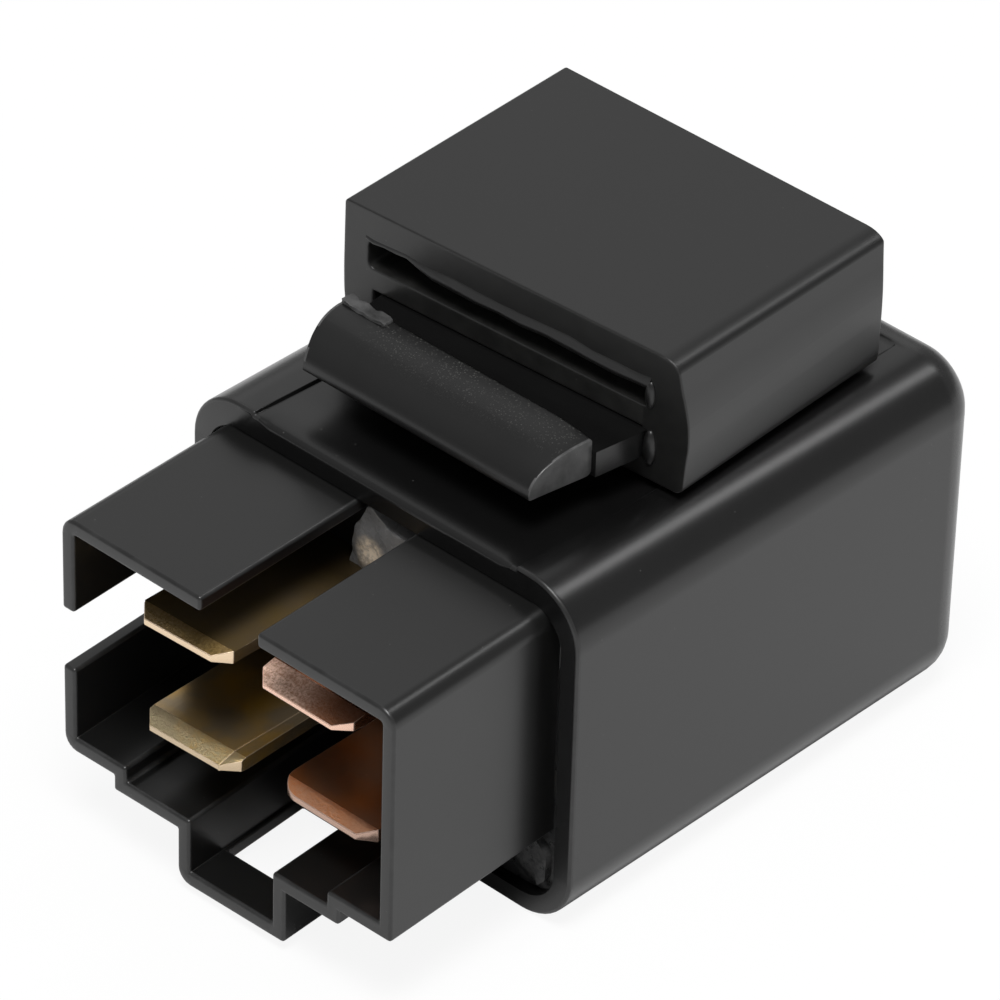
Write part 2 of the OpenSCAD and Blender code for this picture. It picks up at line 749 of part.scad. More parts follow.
// The armature lies on the knife edge, notched round the ears, with a tail for the spring.
module armature() {
    half = armature_w / 2;
    notch = ear_w + ear_fit;
    heel = 0.5;
    color("#8f9092") from_mouth() lifted(armature_open) difference() {
        union() {
            translate([-half, armature_y, armature_z])
                cube([armature_w, hinge_y + heel - armature_y, armature_t]);
            translate([-tail_w / 2, hinge_y, armature_z]) cube([tail_w, tail_len, armature_t]);
        }
        for (side = [-1, 1])
            translate([side * half - notch, leg_y - ear_fit, armature_z - over])
                cube([2 * notch, yoke_t + over + ear_fit, armature_t + 2 * over]);
        translate([0, spring_y, armature_z - over]) cylinder(d = hook_hole_d, h = armature_t + 2 * over);
        for (x = [-rivet_x, rivet_x])
            translate([x, rivet_y, armature_z - over]) cylinder(d = rivet_d, h = armature_t + 2 * over);
    }
}

// The contact spring narrows from the armature's width to its tip over the contacts.
module contact_spring() {
    half = armature_w / 2 - 0.6;
    tip = leaf_tip_w / 2;
    shoulder_y = armature_y + tip;
    color("#c08a4a") from_mouth() lifted(armature_open) difference() {
        translate([0, 0, leaf_z]) linear_extrude(leaf_t) {
            polygon([
                [contact_x - tip, contact_y], [contact_x + tip, contact_y],
                [contact_x + tip, armature_y], [half, shoulder_y], [half, leaf_end],
                [-half, leaf_end], [-half, shoulder_y], [contact_x - tip, armature_y]
            ]);
            translate([contact_x, contact_y]) circle(tip);
        }
        translate([contact_x, contact_y, leaf_z - over]) cylinder(d = contact_d / 2, h = leaf_t + 2 * over);
        for (x = [-rivet_x, rivet_x])
            translate([x, rivet_y, leaf_z - over]) cylinder(d = rivet_d, h = leaf_t + 2 * over);
    }
}

// Two rivets hold the contact spring to the armature, flush below.
module spring_rivets() {
    head_t = 0.4;
    color("#c9c9c4") from_mouth() lifted(armature_open) for (x = [-rivet_x, rivet_x]) {
        translate([x, rivet_y, armature_z]) cylinder(d = rivet_d, h = armature_t + leaf_t);
        translate([x, rivet_y, leaf_z + leaf_t]) cylinder(d1 = rivet_d + 1, d2 = rivet_d + 0.2, h = head_t);
    }
}

module moving_contact() {
    color("#d6d6d2") from_mouth() lifted(armature_open) translate([contact_x, contact_y, 0]) {
        translate([0, 0, moving_z]) cylinder(d = contact_d, h = moving_head_t);
        translate([0, 0, leaf_z]) cylinder(d = contact_d / 2, h = leaf_t);
    }
}

// The fixed contact is riveted in the contact terminal, its face just under the closed contact.
module fixed_contact() {
    color("#d6d6d2") from_mouth() translate([contact_x, contact_y, 0]) {
        translate([0, 0, row_high - blade_t / 2]) cylinder(d = contact_d / 2, h = blade_t);
        translate([0, 0, tail_top_high]) cylinder(d = contact_d, h = moving_z - tail_top_high);
    }
}

// The stop is a strip seated in the base that the resting contact spring lies under.
module stop_bracket() {
    half = leaf_tip_w / 2;
    color("#9a9a98") from_mouth() translate([contact_x - half, stop_y, stop_z])
        cube([leaf_tip_w, contact_y + half - stop_y, stop_t]);
}

// The return spring: a hook end, the coils and a hook end, pulled between lug and tail.
function spring_coils(r) = [
    for (i = [0:spring_turns * 12]) [
        r * cos(30 * i), spring_y + r * sin(30 * i),
        spring_low + (spring_high - spring_low) * i / (spring_turns * 12)
    ]
];
module return_spring() {
    r = (spring_d - spring_wire) / 2;
    below = lug_z - spring_wire / 2 - 0.1;
    above = armature_z + armature_t + spring_wire / 2 + 0.15;
    // Each end as sideways place and height, from the hook's tip to the coils.
    low_end = [
        [hook_end, below], [0.25, below], [0.06, below + 0.1],
        [0, below + 0.3], [0, spring_low - 0.6], [r / 2, spring_low - 0.25]
    ];
    high_end = [
        [r / 2, spring_high + 0.25], [0, spring_high + 0.6], [0, above - 0.3],
        [0.06, above - 0.1], [0.25, above], [hook_end, above]
    ];
    path = concat(
        [for (p = low_end) [p[0], spring_y, p[1]]],
        spring_coils(r),
        [for (p = high_end) [p[0], spring_y, p[1]]]);
    color("#c4c6c8") from_mouth() wire(path, spring_wire, [0, 1, 0]);
}

// The resistor stands between the two coil terminals, across the coil.
module suppression_resistor() {
    mid = (row_low + row_high) / 2;
    waist = resistor_d - 0.3;
    cap = 0.8;
    low = mid - resistor_len / 2;
    color("#b98f5a") from_mouth() translate([resistor_x, resistor_y, low]) rotate_extrude() difference() {
        union() {
            square([waist / 2, resistor_len]);
            square([resistor_d / 2, cap]);
            translate([0, resistor_len - cap]) square([resistor_d / 2, cap]);
        }
        square([resistor_wire / 2, lead_seat]);
        translate([0, resistor_len - lead_seat]) square([resistor_wire / 2, lead_seat]);
    }
}

module resistor_leads() {
    mid = (row_low + row_high) / 2;
    start = resistor_len / 2 - lead_seat;
    reach = row_pitch / 2 + blade_t / 2 + 0.2 - start;
    color("#c9c9c4") from_mouth() translate([resistor_x, resistor_y, mid]) {
        translate([0, 0, start]) cylinder(d = resistor_wire, h = reach);
        translate([0, 0, -start - reach]) cylinder(d = resistor_wire, h = reach);
    }
}

case();
rubber_sleeve();
connector_base();
sealing_resin();
terminal_resin();
coil_terminal_upper();
coil_terminal_lower();
contact_terminal();
common_terminal();
yoke();
core();
bobbin();
coil_winding();
coil_lead_upper();
coil_lead_lower();
armature();
contact_spring();
spring_rivets();
moving_contact();
fixed_contact();
stop_bracket();
return_spring();
suppression_resistor();
resistor_leads();
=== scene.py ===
# %% [markdown]
# # A small automotive relay, dressed for its portrait
#
# The relay is a sealed black can with an open connector shroud round four flat blades. A
# tongue on its top ends in a rounded lip, and carries a rubber sleeve. The solids come from
# CAD. Here the pieces that the eye sees get soft edges, worn corners and real finishes.

# %% Load the frame
import math

import bmesh
import bpy
from mathutils import Matrix, Vector


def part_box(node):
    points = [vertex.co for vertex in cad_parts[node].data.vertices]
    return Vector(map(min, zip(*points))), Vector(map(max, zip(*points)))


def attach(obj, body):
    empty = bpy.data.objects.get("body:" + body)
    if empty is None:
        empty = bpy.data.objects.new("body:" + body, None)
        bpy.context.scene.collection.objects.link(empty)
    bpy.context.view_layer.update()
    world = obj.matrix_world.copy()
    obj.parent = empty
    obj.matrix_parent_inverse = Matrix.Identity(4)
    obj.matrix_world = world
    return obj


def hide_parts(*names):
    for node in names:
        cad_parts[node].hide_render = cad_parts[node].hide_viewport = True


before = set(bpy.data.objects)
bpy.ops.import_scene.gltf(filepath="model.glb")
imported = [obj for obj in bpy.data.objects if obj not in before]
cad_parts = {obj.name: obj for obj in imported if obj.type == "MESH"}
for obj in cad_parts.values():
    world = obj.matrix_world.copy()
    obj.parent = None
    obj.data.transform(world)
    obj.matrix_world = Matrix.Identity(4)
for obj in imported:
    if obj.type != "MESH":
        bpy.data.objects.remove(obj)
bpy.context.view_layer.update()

# %% [markdown]
# ## Measures
#
# The pieces are drawn in millimetres from the can's mouth, as the CAD source is: across,
# back from the mouth, and up from the bottom. Finished meshes are moved and scaled to
# their place, so every object stays at the origin, unturned.

# %% Sizes of the solids
def box_mm(node):
    low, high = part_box(node)
    return Vector(low) * 1000, Vector(high) * 1000


can_low, can_high = box_mm("case")
MOUTH = can_low.y
WIDTH = can_high.x - can_low.x
DEPTH = can_high.y - can_low.y
HEIGHT = 20.9  # of the can alone, because its solid holds the tongue as well
WALL = 1.1
SHROUD_FRONT = box_mm("connector_base")[0].y - MOUTH
print("can", round(WIDTH, 2), "x", round(DEPTH, 2), "shroud starts at", round(SHROUD_FRONT, 2))

# %% [markdown]
# ## The camera
#
# The photograph looks down at the front right corner through a long lens. The camera is
# placed by two angles, a small roll and a distance from the point it looks at.

# %% Place the camera
def link_object(name, data):
    made = bpy.data.objects.new(name, data)
    bpy.context.scene.collection.objects.link(made)
    return made


AZIMUTH, ELEVATION, ROLL = (math.radians(angle) for angle in (42.55, 36.28, 1.65))
AIM, DISTANCE = Vector((-0.00230, 0.00141, 0.01327)), 0.3733
level = math.cos(ELEVATION)
back = Vector((math.sin(AZIMUTH) * level, -math.cos(AZIMUTH) * level, math.sin(ELEVATION)))
lens = bpy.data.cameras.new("camera")
lens.lens, lens.sensor_width = 262.8, 36
lens.clip_start, lens.clip_end = 0.01, 20
camera = link_object("camera", lens)
camera.location = AIM + back * DISTANCE
facing = (-back).to_track_quat("-Z", "Y").to_matrix()
camera.rotation_euler = (facing @ Matrix.Rotation(ROLL, 3, "Z")).to_euler()
bpy.context.scene.camera = camera
bpy.context.scene.view_settings.view_transform = "Standard"
print("camera", round(camera.location.length * 1000), "mm from the origin")

# %% [markdown]
# ## Effects that several finishes share
#
# A node group is built once and placed in each material with its own values. The helpers
# take plain numbers and outputs of other nodes alike.

# %% Helpers for nodes
def new_group(name, inputs, outputs):
    """A node group. An input's default is None for a vector."""
    group = bpy.data.node_groups.new(name, "ShaderNodeTree")
    for label, value in inputs:
        kind = "NodeSocketVector" if value is None else "NodeSocketFloat"
        socket = group.interface.new_socket(name=label, in_out="INPUT", socket_type=kind)
        if value is not None:
            socket.default_value = value
    for label in outputs:
        group.interface.new_socket(name=label, in_out="OUTPUT", socket_type="NodeSocketFloat")
    inner, outer = group.nodes.new("NodeGroupInput"), group.nodes.new("NodeGroupOutput")
    print("group:", name)
    return group, inner.outputs, outer.inputs


def add(tree, kind, **settings):
    node = tree.nodes.new(kind)
    for key, value in settings.items():
        setattr(node, key, value)
    return node


def plug(tree, value, socket):
    """Links an output to a socket, or writes a plain value in it."""
    if hasattr(value, "is_linked"):
        tree.links.new(value, socket)
    else:
        socket.default_value = value


def feed(tree, node, labels, values):
    """Plugs values in the inputs with these labels, and gives the outputs."""
    for label, value in zip(labels, values):
        plug(tree, value, node.inputs[label])
    return node.outputs


def math_node(tree, operation, *values, clamp=False):
    node = add(tree, "ShaderNodeMath", operation=operation, use_clamp=clamp)
    return feed(tree, node, range(3), values)[0]


def times(tree, value, factor, more=0.0, clamp=False):
    """A product, with more added to it."""
    return math_node(tree, "MULTIPLY_ADD", value, factor, more, clamp=clamp)


def noise(tree, *values):
    """Smooth noise from its place, scale, detail and roughness."""
    labels = ("Vector", "Scale", "Detail", "Roughness")
    return feed(tree, add(tree, "ShaderNodeTexNoise"), labels, values)["Fac"]


def remap(tree, value, *limits):
    """Takes a value from one range to another, each a low and a high."""
    node = add(tree, "ShaderNodeMapRange", clamp=True)
    labels = ("Value", "From Min", "From Max", "To Min", "To Max")
    return feed(tree, node, labels, (value, *limits))["Result"]


def patchy(tree, place, grain, *limits):
    return remap(tree, noise(tree, place, *grain), *limits)


def axes_of(tree, place):
    return tuple(feed(tree, add(tree, "ShaderNodeSeparateXYZ"), [0], [place]))


print("node helpers ready")

# %% [markdown]
# Moulded skin has a fine grain, and broad patches where the mould was smoother. It reads
# Object coordinates, so nothing slides.

# %% Group: moulded skin
def build_moulded_skin():
    inputs = [
        ("Vector", None), ("Grain scale", 9000.0), ("Patch scale", 260.0), ("Patch strength", 1.0)]
    group, given, out = new_group("moulded skin", inputs, ["Grain", "Patches"])
    where = given["Vector"]
    fine = noise(group, where, given["Grain scale"], 2.0, 0.5)
    broad = noise(group, where, given["Patch scale"], 3.0, 0.6)
    middle = math_node(group, "SUBTRACT", broad, 0.5)
    patches = times(group, middle, given["Patch strength"])
    plug(group, fine, out["Grain"])
    plug(group, patches, out["Patches"])
    return group


MOULDED_SKIN = build_moulded_skin()

# %% [markdown]
# Rubbed corners and cut edges are lighter and duller than the faces beside them. When an
# edge is rounded, its new faces are marked up to one in an attribute named edge. The same
# attribute also carries painted light on the lip's ends and in the sleeve's slots, and a
# painted glint along the top edges of the lip's caps. The group breaks the mark up with
# noise, so the wear and the painted light come and go along the edge.

# %% Group: worn edges and painted light
def build_worn_edges_and_light():
    inputs = [("Vector", None), ("Edge", 0.0), ("Break scale", 900.0), ("Amount", 0.6)]
    group, given, out = new_group("worn edges and painted light", inputs, ["Wear"])
    broken = noise(group, given["Vector"], given["Break scale"], 4.0, 0.65)
    strength = remap(group, broken, 0.35, 0.7, 0.35, 1.0)
    wear_and_light = times(group, strength, given["Edge"])
    wear_and_light = times(group, wear_and_light, given["Amount"], clamp=True)
    plug(group, wear_and_light, out["Wear"])
    return group


WORN_EDGES_AND_LIGHT = build_worn_edges_and_light()

# %% [markdown]
# Dust and nicks stand out from the surface. A Voronoi pattern gives cells with a point in
# each, and only the nearest part of a few of them is kept.

# %% Group: specks
def build_specks():
    inputs = [("Vector", None), ("Scale", 2600.0), ("Size", 0.16), ("Share", 0.3)]
    group, given, out = new_group("specks", inputs, ["Mask"])
    cells = feed(
        group, add(group, "ShaderNodeTexVoronoi", feature="F1"), ("Vector", "Scale"),
        (given["Vector"], given["Scale"]))
    near = remap(group, cells["Distance"], given["Size"], 0.0, 0.0, 1.0)
    split = feed(group, add(group, "ShaderNodeSeparateColor"), ["Color"], [cells["Color"]])
    chosen = math_node(group, "LESS_THAN", split["Red"], given["Share"])
    plug(group, times(group, near, chosen), out["Mask"])
    return group


SPECKS = build_specks()

# %% [markdown]
# Rolled strip is marked in one direction. Stretching the place along the blade, before it
# goes into a noise pattern, turns round spots into long scratches.

# %% Group: drawn scratches
def build_scratches():
    inputs = [("Vector", None), ("Across", 9000.0), ("Along", 260.0), ("Cloud scale", 420.0)]
    group, given, out = new_group("drawn scratches", inputs, ["Lines", "Clouds"])
    where = given["Vector"]
    joined = add(group, "ShaderNodeCombineXYZ")
    for axis, part in enumerate(axes_of(group, where)):
        stretch = given["Along" if axis == 1 else "Across"]
        plug(group, times(group, part, stretch), joined.inputs[axis])
    lines = noise(group, joined.outputs[0], 1.0, 4.0, 0.7)
    clouds = noise(group, where, given["Cloud scale"], 3.0, 0.55)
    plug(group, lines, out["Lines"])
    plug(group, clouds, out["Clouds"])
    return group


SCRATCHES = build_scratches()

# %% [markdown]
# ## Black plastic and rubber
#
# The can is the glossiest black, the base is a little satin, the rubber is soft and even,
# and the lip wears lighter in a band of grains. The lip's ends and the sleeve's slots get
# painted light in the colour of wear. Black shows almost only reflections, so the work is
# in the roughness and the bump.

# %% Helpers for materials
def start_material(name):
    """A material with its tree, its shader and the place on the object."""
    material = bpy.data.materials.new(name)
    material.use_nodes = True
    tree = material.node_tree
    place = add(tree, "ShaderNodeTexCoord").outputs["Object"]
    print("finish:", name)
    return material, tree, tree.nodes["Principled BSDF"], place


def use(tree, group, place, **values):
    """Places a node group. Underscores stand for the spaces in its labels."""
    node = add(tree, "ShaderNodeGroup", node_tree=group)
    labels = [label.replace("_", " ") for label in values]
    return feed(tree, node, ["Vector", *labels], [place, *values.values()])


def mark_of(tree, name):
    return add(tree, "ShaderNodeAttribute", attribute_name=name).outputs["Fac"]


def blend_colours(tree, factor, first, second):
    node = add(tree, "ShaderNodeMix", data_type="RGBA")
    plug(tree, factor, node.inputs["Factor"])
    for socket, colour in ((node.inputs[6], first), (node.inputs[7], second)):
        plug(tree, colour if hasattr(colour, "is_linked") else (*colour, 1), socket)
    return node.outputs[2]


def surface(tree, shader, colour, rough, height, distance, strength, metallic=0.0):
    """Gives the shader its colour, roughness, bump and share of metal."""
    labels = ("Height", "Distance", "Strength")
    bump = feed(tree, add(tree, "ShaderNodeBump"), labels, (height, distance, strength))
    labels = ("Base Color", "Roughness", "Normal", "Metallic")
    feed(tree, shader, labels, (colour, rough, bump["Normal"], metallic))


def metres(depth):
    """A depth in millimetres from the mouth, as a place along the object."""
    return (depth + MOUTH) / 1000


print("material helpers ready")

# %% Black finishes
DUST, GRAINS = (0.16, 0.16, 0.15), (0.075, 0.075, 0.07)


def black_finish(name, colour, light, rough, spread, depth, grain, share, band=None):
    """A moulded black. Light is the colour of wear and of painted light, and band adds grains of
    its own.
    """
    material, tree, shader, place = start_material(name)
    skin = use(tree, MOULDED_SKIN, place, Grain_scale=grain, Patch_scale=240.0)
    patches = skin["Patches"]
    # the wear mask also carries painted light where the lip and the sleeve are marked for it
    wear_and_light = use(tree, WORN_EDGES_AND_LIGHT, place, Edge=mark_of(tree, "edge"), Amount=0.75)["Wear"]
    dust = use(tree, SPECKS, place, Scale=2400.0, Size=0.14, Share=share)["Mask"]
    lift = times(tree, patches, 0.5, 0.25, clamp=True)
    base = blend_colours(tree, lift, colour, tuple(c * 1.8 for c in colour))
    base = blend_colours(tree, wear_and_light, base, light)
    base = blend_colours(tree, times(tree, dust, 0.35), base, DUST)
    height = times(tree, patches, 1.2, skin["Grain"])
    height = math_node(tree, "ADD", height, dust)
    if band:
        grains = band(tree, place)
        base = blend_colours(tree, grains, base, GRAINS)
        height = times(tree, grains, 4.0, height)
    dull = times(tree, patches, spread, rough)
    dull = times(tree, wear_and_light, 0.12, dull, clamp=True)
    surface(tree, shader, base, dull, height, depth, 0.5)
    return material


def lip_band(tree, place):
    """A band of bright grains along the upper back of the lip, where it was scuffed."""
    across, along, up = axes_of(tree, place)
    rise = remap(tree, along, metres(3.7), metres(5.3), 0.0, 1.0)
    start = remap(tree, across, -0.0066, -0.0056, 0.0, 1.0)
    stop = remap(tree, across, 0.0075, 0.0078, 1.0, 0.0)
    band = times(tree, times(tree, rise, stop), start)
    patch = patchy(tree, place, (1100.0, 3.0, 0.6), 0.36, 0.6, 0.45, 1.0)
    grains = use(tree, SPECKS, place, Scale=7600.0, Size=0.4, Share=0.65)["Mask"]
    return times(tree, grains, times(tree, band, patch))


CASE_BLACK = black_finish(
    "case black", (0.003,) * 3, (0.03,) * 3,
    0.26, 0.05, 0.000002, 7000.0, 0.02)
BASE_BLACK = black_finish(
    "base black", (0.0045, 0.0045, 0.0044), (0.035,) * 3,
    0.30, 0.06, 0.000003, 6000.0, 0.04)
# the lip's light colour serves painted light on its ends, a painted glint on its caps' edges, and
# the torn flash
LIP_BLACK = black_finish(
    "lip black", (0.003,) * 3, (0.1,) * 3,
    0.3, 0.06, 0.000003, 6000.0, 0.03, lip_band)
# the rubber's light colour also serves the painted light in the sleeve's slots
RUBBER_BLACK = black_finish(
    "rubber black", (0.004,) * 3, (0.06, 0.06, 0.056),
    0.36, 0.05, 0.000003, 8000.0, 0.015)

# %% [markdown]
# ## Bench tools for the meshes
#
# Most of the moulded pieces begin as an outline seen from the front: one face, whose
# corners are rounded by a vertex bevel, extruded back. Two neighbouring radii together
# have to be shorter than the line between them.

# %% Outlines and extrusions
def outline_face(bm, corners, depth, segments=6):
    """A face from corners given as across, up and radius, standing at one depth."""
    known = set(bm.faces)
    verts = [bm.verts.new((x, depth, z)) for x, z, radius in corners]
    bm.faces.new(verts)
    for vert, (x, z, radius) in zip(verts, corners):
        if radius:
            bmesh.ops.bevel(
                bm, geom=[vert], offset=radius, offset_type="OFFSET", segments=segments,
                profile=0.5, affect="VERTICES", clamp_overlap=False, material=-1)
    return [face for face in bm.faces if face not in known][0]


def box_face(bm, half, low, high, radius, depth, segments):
    """A rectangle with rounded corners, as wide to the left as to the right."""
    return outline_face(bm, [
        (-half, low, radius), (half, low, radius), (half, high, radius),
        (-half, high, radius)], depth, segments)


def turned_face(bm, corners, degrees, axis, shift, segments):
    face = outline_face(bm, corners, 0.0, segments)
    turn = Matrix.Rotation(math.radians(degrees), 3, axis)
    bmesh.ops.rotate(bm, verts=face.verts[:], cent=(0, 0, 0), matrix=turn)
    bmesh.ops.translate(bm, verts=face.verts[:], vec=shift)
    return face


def shift_made(bm, made, vector):
    verts = [item for item in made if isinstance(item, bmesh.types.BMVert)]
    bmesh.ops.translate(bm, verts=verts, vec=vector)


def push(bm, face, vector):
    shift_made(bm, bmesh.ops.extrude_face_region(bm, geom=[face])["geom"], vector)


def face_outward(bm, known=()):
    """Turns all faces outward but the known ones."""
    bmesh.ops.recalc_face_normals(bm, faces=[f for f in bm.faces if f not in known])


def thicken(bm, depth):
    """Makes a solid of a flat sheet."""
    made = bmesh.ops.extrude_face_region(bm, geom=bm.faces[:], use_keep_orig=True)["geom"]
    shift_made(bm, made, (0, depth, 0))
    face_outward(bm)


def drop_faces(bm, faces):
    bmesh.ops.delete(bm, geom=faces, context="FACES_ONLY")


def placed(middle, size):
    """The matrix that gives a unit cube or ball its middle and size."""
    return Matrix.Translation(middle) @ Matrix.Diagonal((*size, 1))


def add_box(bm, middle, size):
    bmesh.ops.create_cube(bm, size=1, matrix=placed(middle, size))


def cut_across(bm, axis, places, keep=lambda face: True):
    """Cuts the faces that keep picks by planes square to one axis."""
    for place in places:
        point, normal = [0, 0, 0], [0, 0, 0]
        point[axis], normal[axis] = place, 1
        faces = [f for f in bm.faces if keep(f)]
        parts = {part for f in faces for part in (f, *f.edges, *f.verts)}
        geom = [part for seq in (bm.verts, bm.edges, bm.faces) for part in seq if part in parts]
        bmesh.ops.bisect_plane(bm, geom=geom, plane_co=point, plane_no=normal)


def shake(verts, size, amount, direction):
    """Moves points along a direction by a field of three waves, the same each run."""
    for vert in verts:
        x, y, z = vert.co * size
        wave = math.sin(1.9 * x + 0.7 * z) + math.sin(2.7 * z - 1.3 * x + 0.8)
        wave += math.sin(4.1 * x + 3.3 * z + y)
        vert.co += Vector(direction) * (amount * wave / 3)


def middle_of(edge):
    return (edge.verts[0].co + edge.verts[1].co) / 2


def centre(face):
    return face.calc_center_median()


print("outline tools ready")

# %% [markdown]
# An edge bevel rounds sharp edges where it has room. On a thin wall it has none, so there
# the skin near the end is cut in narrow bands, and each is pulled in along its normals.
# Both mark the faces that they make.

# %% Soft edges
def edge_marks(bm):
    return bm.faces.layers.float.get("edge") or bm.faces.layers.float.new("edge")


def sharp_edges(bm, least=40, keep=lambda edge: True):
    return [
        edge for edge in bm.edges
        if len(edge.link_faces) == 2 and edge.calc_face_angle(0) > math.radians(least)
        and keep(edge)]


def round_edges(bm, edges, radius, segments=3, mark=1.0, clamp=True):
    layer = edge_marks(bm)
    made = bmesh.ops.bevel(
        bm, geom=list(edges), offset=radius, offset_type="OFFSET", segments=segments,
        profile=0.5, affect="EDGES", clamp_overlap=clamp, material=-1)
    for face in made["faces"]:
        face[layer] = mark


def soften_end(bm, end, radius, steps=4, into=1, mark=0.7, pick=lambda vert: True):
    """Rounds one end of an extruded wall."""
    layer = edge_marks(bm)
    cut_across(bm, 1, [
        end + into * radius * (1 - math.cos(math.pi / 2 * k / steps))
        for k in range(1, steps + 1)])
    bm.normal_update()
    moves = []
    for vert in bm.verts:
        distance = max(0.0, into * (vert.co.y - end))
        if distance < radius - 1e-6 and pick(vert):
            sides = [f.normal for f in vert.link_faces if abs(f.normal.y) < 0.5]
            inward = Vector((sum(n.x for n in sides), 0, sum(n.z for n in sides))).normalized()
            depth = radius - math.sqrt(radius ** 2 - (radius - distance) ** 2)
            moves.append((vert, inward * depth))
    moved = {vert for vert, move in moves if move.length > 1e-6}
    for vert, move in moves:
        vert.co -= move
    for face in bm.faces:
        if abs(face.normal.y) < 0.98 and any(vert in moved for vert in face.verts):
            face[layer] = mark
    bm.normal_update()


print("edge tools ready")

# %% [markdown]
# A finished mesh is moved to its place, scaled to metres and tied to the frame.

# %% Finish a piece
SMOOTH_BELOW = math.radians(38)


def mesh_from(bm, name, material):
    mesh = bpy.data.meshes.new(name)
    bm.to_mesh(mesh)
    bm.free()
    mesh.materials.append(material)
    return mesh


def finish_piece(bm, name, material, node):
    bmesh.ops.translate(bm, verts=bm.verts[:], vec=(0, MOUTH, 0))
    bmesh.ops.scale(bm, verts=bm.verts[:], vec=(0.001,) * 3)
    edge_marks(bm)
    for face in bm.faces:
        face.smooth = True
    for edge in bm.edges:
        edge.smooth = len(edge.link_faces) == 2 and edge.calc_face_angle(0) <= SMOOTH_BELOW
    mesh = mesh_from(bm, name, material)
    piece = link_object(name, mesh)
    weighted = piece.modifiers.new("weighted normals", "WEIGHTED_NORMAL")
    weighted.keep_sharp = True
    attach(piece, "housing")
    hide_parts(node)
    print(f"{name}: {len(mesh.polygons)} faces")


print("finishing tool ready")

# %% [markdown]
# ## The can
#
# The can is a box with well rounded long edges, a shallow channel along its top, a softer
# back and a thin rim. Its outline is drawn with the channel in it. The channel's walls
# drift to the right, and it ends behind the tongue's post. A second outline makes the
# hollow, and triangles between the two front loops give the rim its face.

# %% Shape the channel
CHANNEL, FLOOR = 9.0, HEIGHT - 0.15  # half width, and height of the floor
STEADY = 7.9  # half width of the floor that doesn't drift
DRIFT, DRIFT_END = 0.045, 7.0  # for each mm back, and where it stops


def roll_channel(bm, run=1.6, radius=0.3):
    """Lets the channel's floor dip to the rim in front and round over its edge."""
    layer = edge_marks(bm)
    cut_across(bm, 1, (0.04, 0.1, radius, 0.55, 0.85, 1.2, run))
    for vert in bm.verts:
        x, y, z = vert.co
        if abs(x) < CHANNEL - 0.02 and z > FLOOR - 0.25 and y < run - 1e-6:
            share = min(1, (CHANNEL - abs(x)) / 1.1)
            share = share * share * (3 - 2 * share)
            dip = 0.14 * (1 - y / run) ** 2
            turn = radius - math.sqrt(radius ** 2 - (radius - min(y, radius)) ** 2)
            vert.co.z = min(z, FLOOR - share * (dip + turn))
    bm.normal_update()
    for face in bm.faces:
        middle = centre(face)
        if abs(middle.x) < CHANNEL - 0.3 and middle.z > FLOOR - 0.6 and middle.y < run:
            face[layer] = 0.0


def drift_channel(bm):
    for vert in bm.verts:
        across = abs(vert.co.x)
        if STEADY < across < CHANNEL + 0.2 and vert.co.z > FLOOR - 1:
            share = min(1.0, (across - STEADY) / (CHANNEL - STEADY))
            vert.co.x += DRIFT * min(vert.co.y, DRIFT_END) * share


def close_channel(bm):
    """Lifts the floor to the can's top at the back."""
    behind = [
        v for v in bm.verts
        if v.co.y > DEPTH - 2.5 and abs(v.co.x) < CHANNEL + 0.6 and v.co.z > FLOOR - 0.01]
    bmesh.ops.scale(
        bm, verts=behind, vec=(1, 1, 0), space=Matrix.Translation((0, 0, -HEIGHT)))
    middle = DRIFT * DRIFT_END
    corners = [v for v in behind if abs(abs(v.co.x - middle) - CHANNEL) < 0.2]
    bmesh.ops.remove_doubles(bm, verts=corners, dist=0.25)


# %% Build the can
def hollow_out(bm):
    """Adds the hollow's skin and closes the rim."""
    top, corner = 19.37, 2.2
    hollow = box_face(bm, WIDTH / 2 - WALL, WALL, top, corner, 0.0, 12)
    push(bm, hollow, (0, DEPTH - WALL, 0))
    fronts = [
        f for f in bm.faces if abs(f.normal.y) > 0.99 and centre(f).y < 0.01]
    drop_faces(bm, fronts)
    bmesh.ops.triangle_fill(
        bm, edges=[e for e in bm.edges if e.is_boundary], use_beauty=True, normal=(0, -1, 0))
    loose = [e for e in bm.edges if not e.link_faces]
    bmesh.ops.delete(bm, geom=loose, context="EDGES")
    face_outward(bm)


def build_can():
    bm = bmesh.new()
    side, corner = WIDTH / 2, 3.3
    outer = outline_face(bm, [
        (-side, 0, corner), (side, 0, corner), (side, HEIGHT, corner),
        (CHANNEL + 0.1, HEIGHT, 0.05), (CHANNEL, FLOOR, 0.04), (-CHANNEL, FLOOR, 0.04),
        (-CHANNEL - 0.1, HEIGHT, 0.05), (-side, HEIGHT, corner)], 0.0, segments=12)
    push(bm, outer, (0, DEPTH, 0))
    face_outward(bm)
    cut_across(bm, 0, (-8.7, -8.3, -STEADY, STEADY, 8.3, 8.7))
    soften_end(bm, 0.0, 0.18)
    roll_channel(bm)
    cut_across(bm, 1, (DRIFT_END, DEPTH - 2.6, DEPTH - 2.4))
    drift_channel(bm)
    close_channel(bm)
    soften_end(bm, DEPTH, 2.2, steps=8, into=-1, mark=0.25)
    hollow_out(bm)
    sag = 0.35  # of the top at the back
    for vert in bm.verts:
        vert.co.z -= sag * (vert.co.y / DEPTH) * (vert.co.z / HEIGHT)
    finish_piece(bm, "can", CASE_BLACK, "case")


build_can()

# %% [markdown]
# The tongue stands on a post at the can's back and reaches forward over the channel, with
# an air gap under it. Its outline is drawn from the side and extruded across.

# %% Build the tongue
TONGUE_LOW, TONGUE_HIGH, TONGUE_HALF = 22.6, 24.1, 8.7
LIP_LOW, LIP_HIGH, LIP_FRONT, LIP_BACK = 22.9, 25.04, 2.35, 6.5


def side_face(bm, corners, across, segments=6):
    """An outline drawn from the side: depth, up and radius for each corner."""
    return turned_face(bm, corners, 90, "Z", (across, 0, 0), segments)


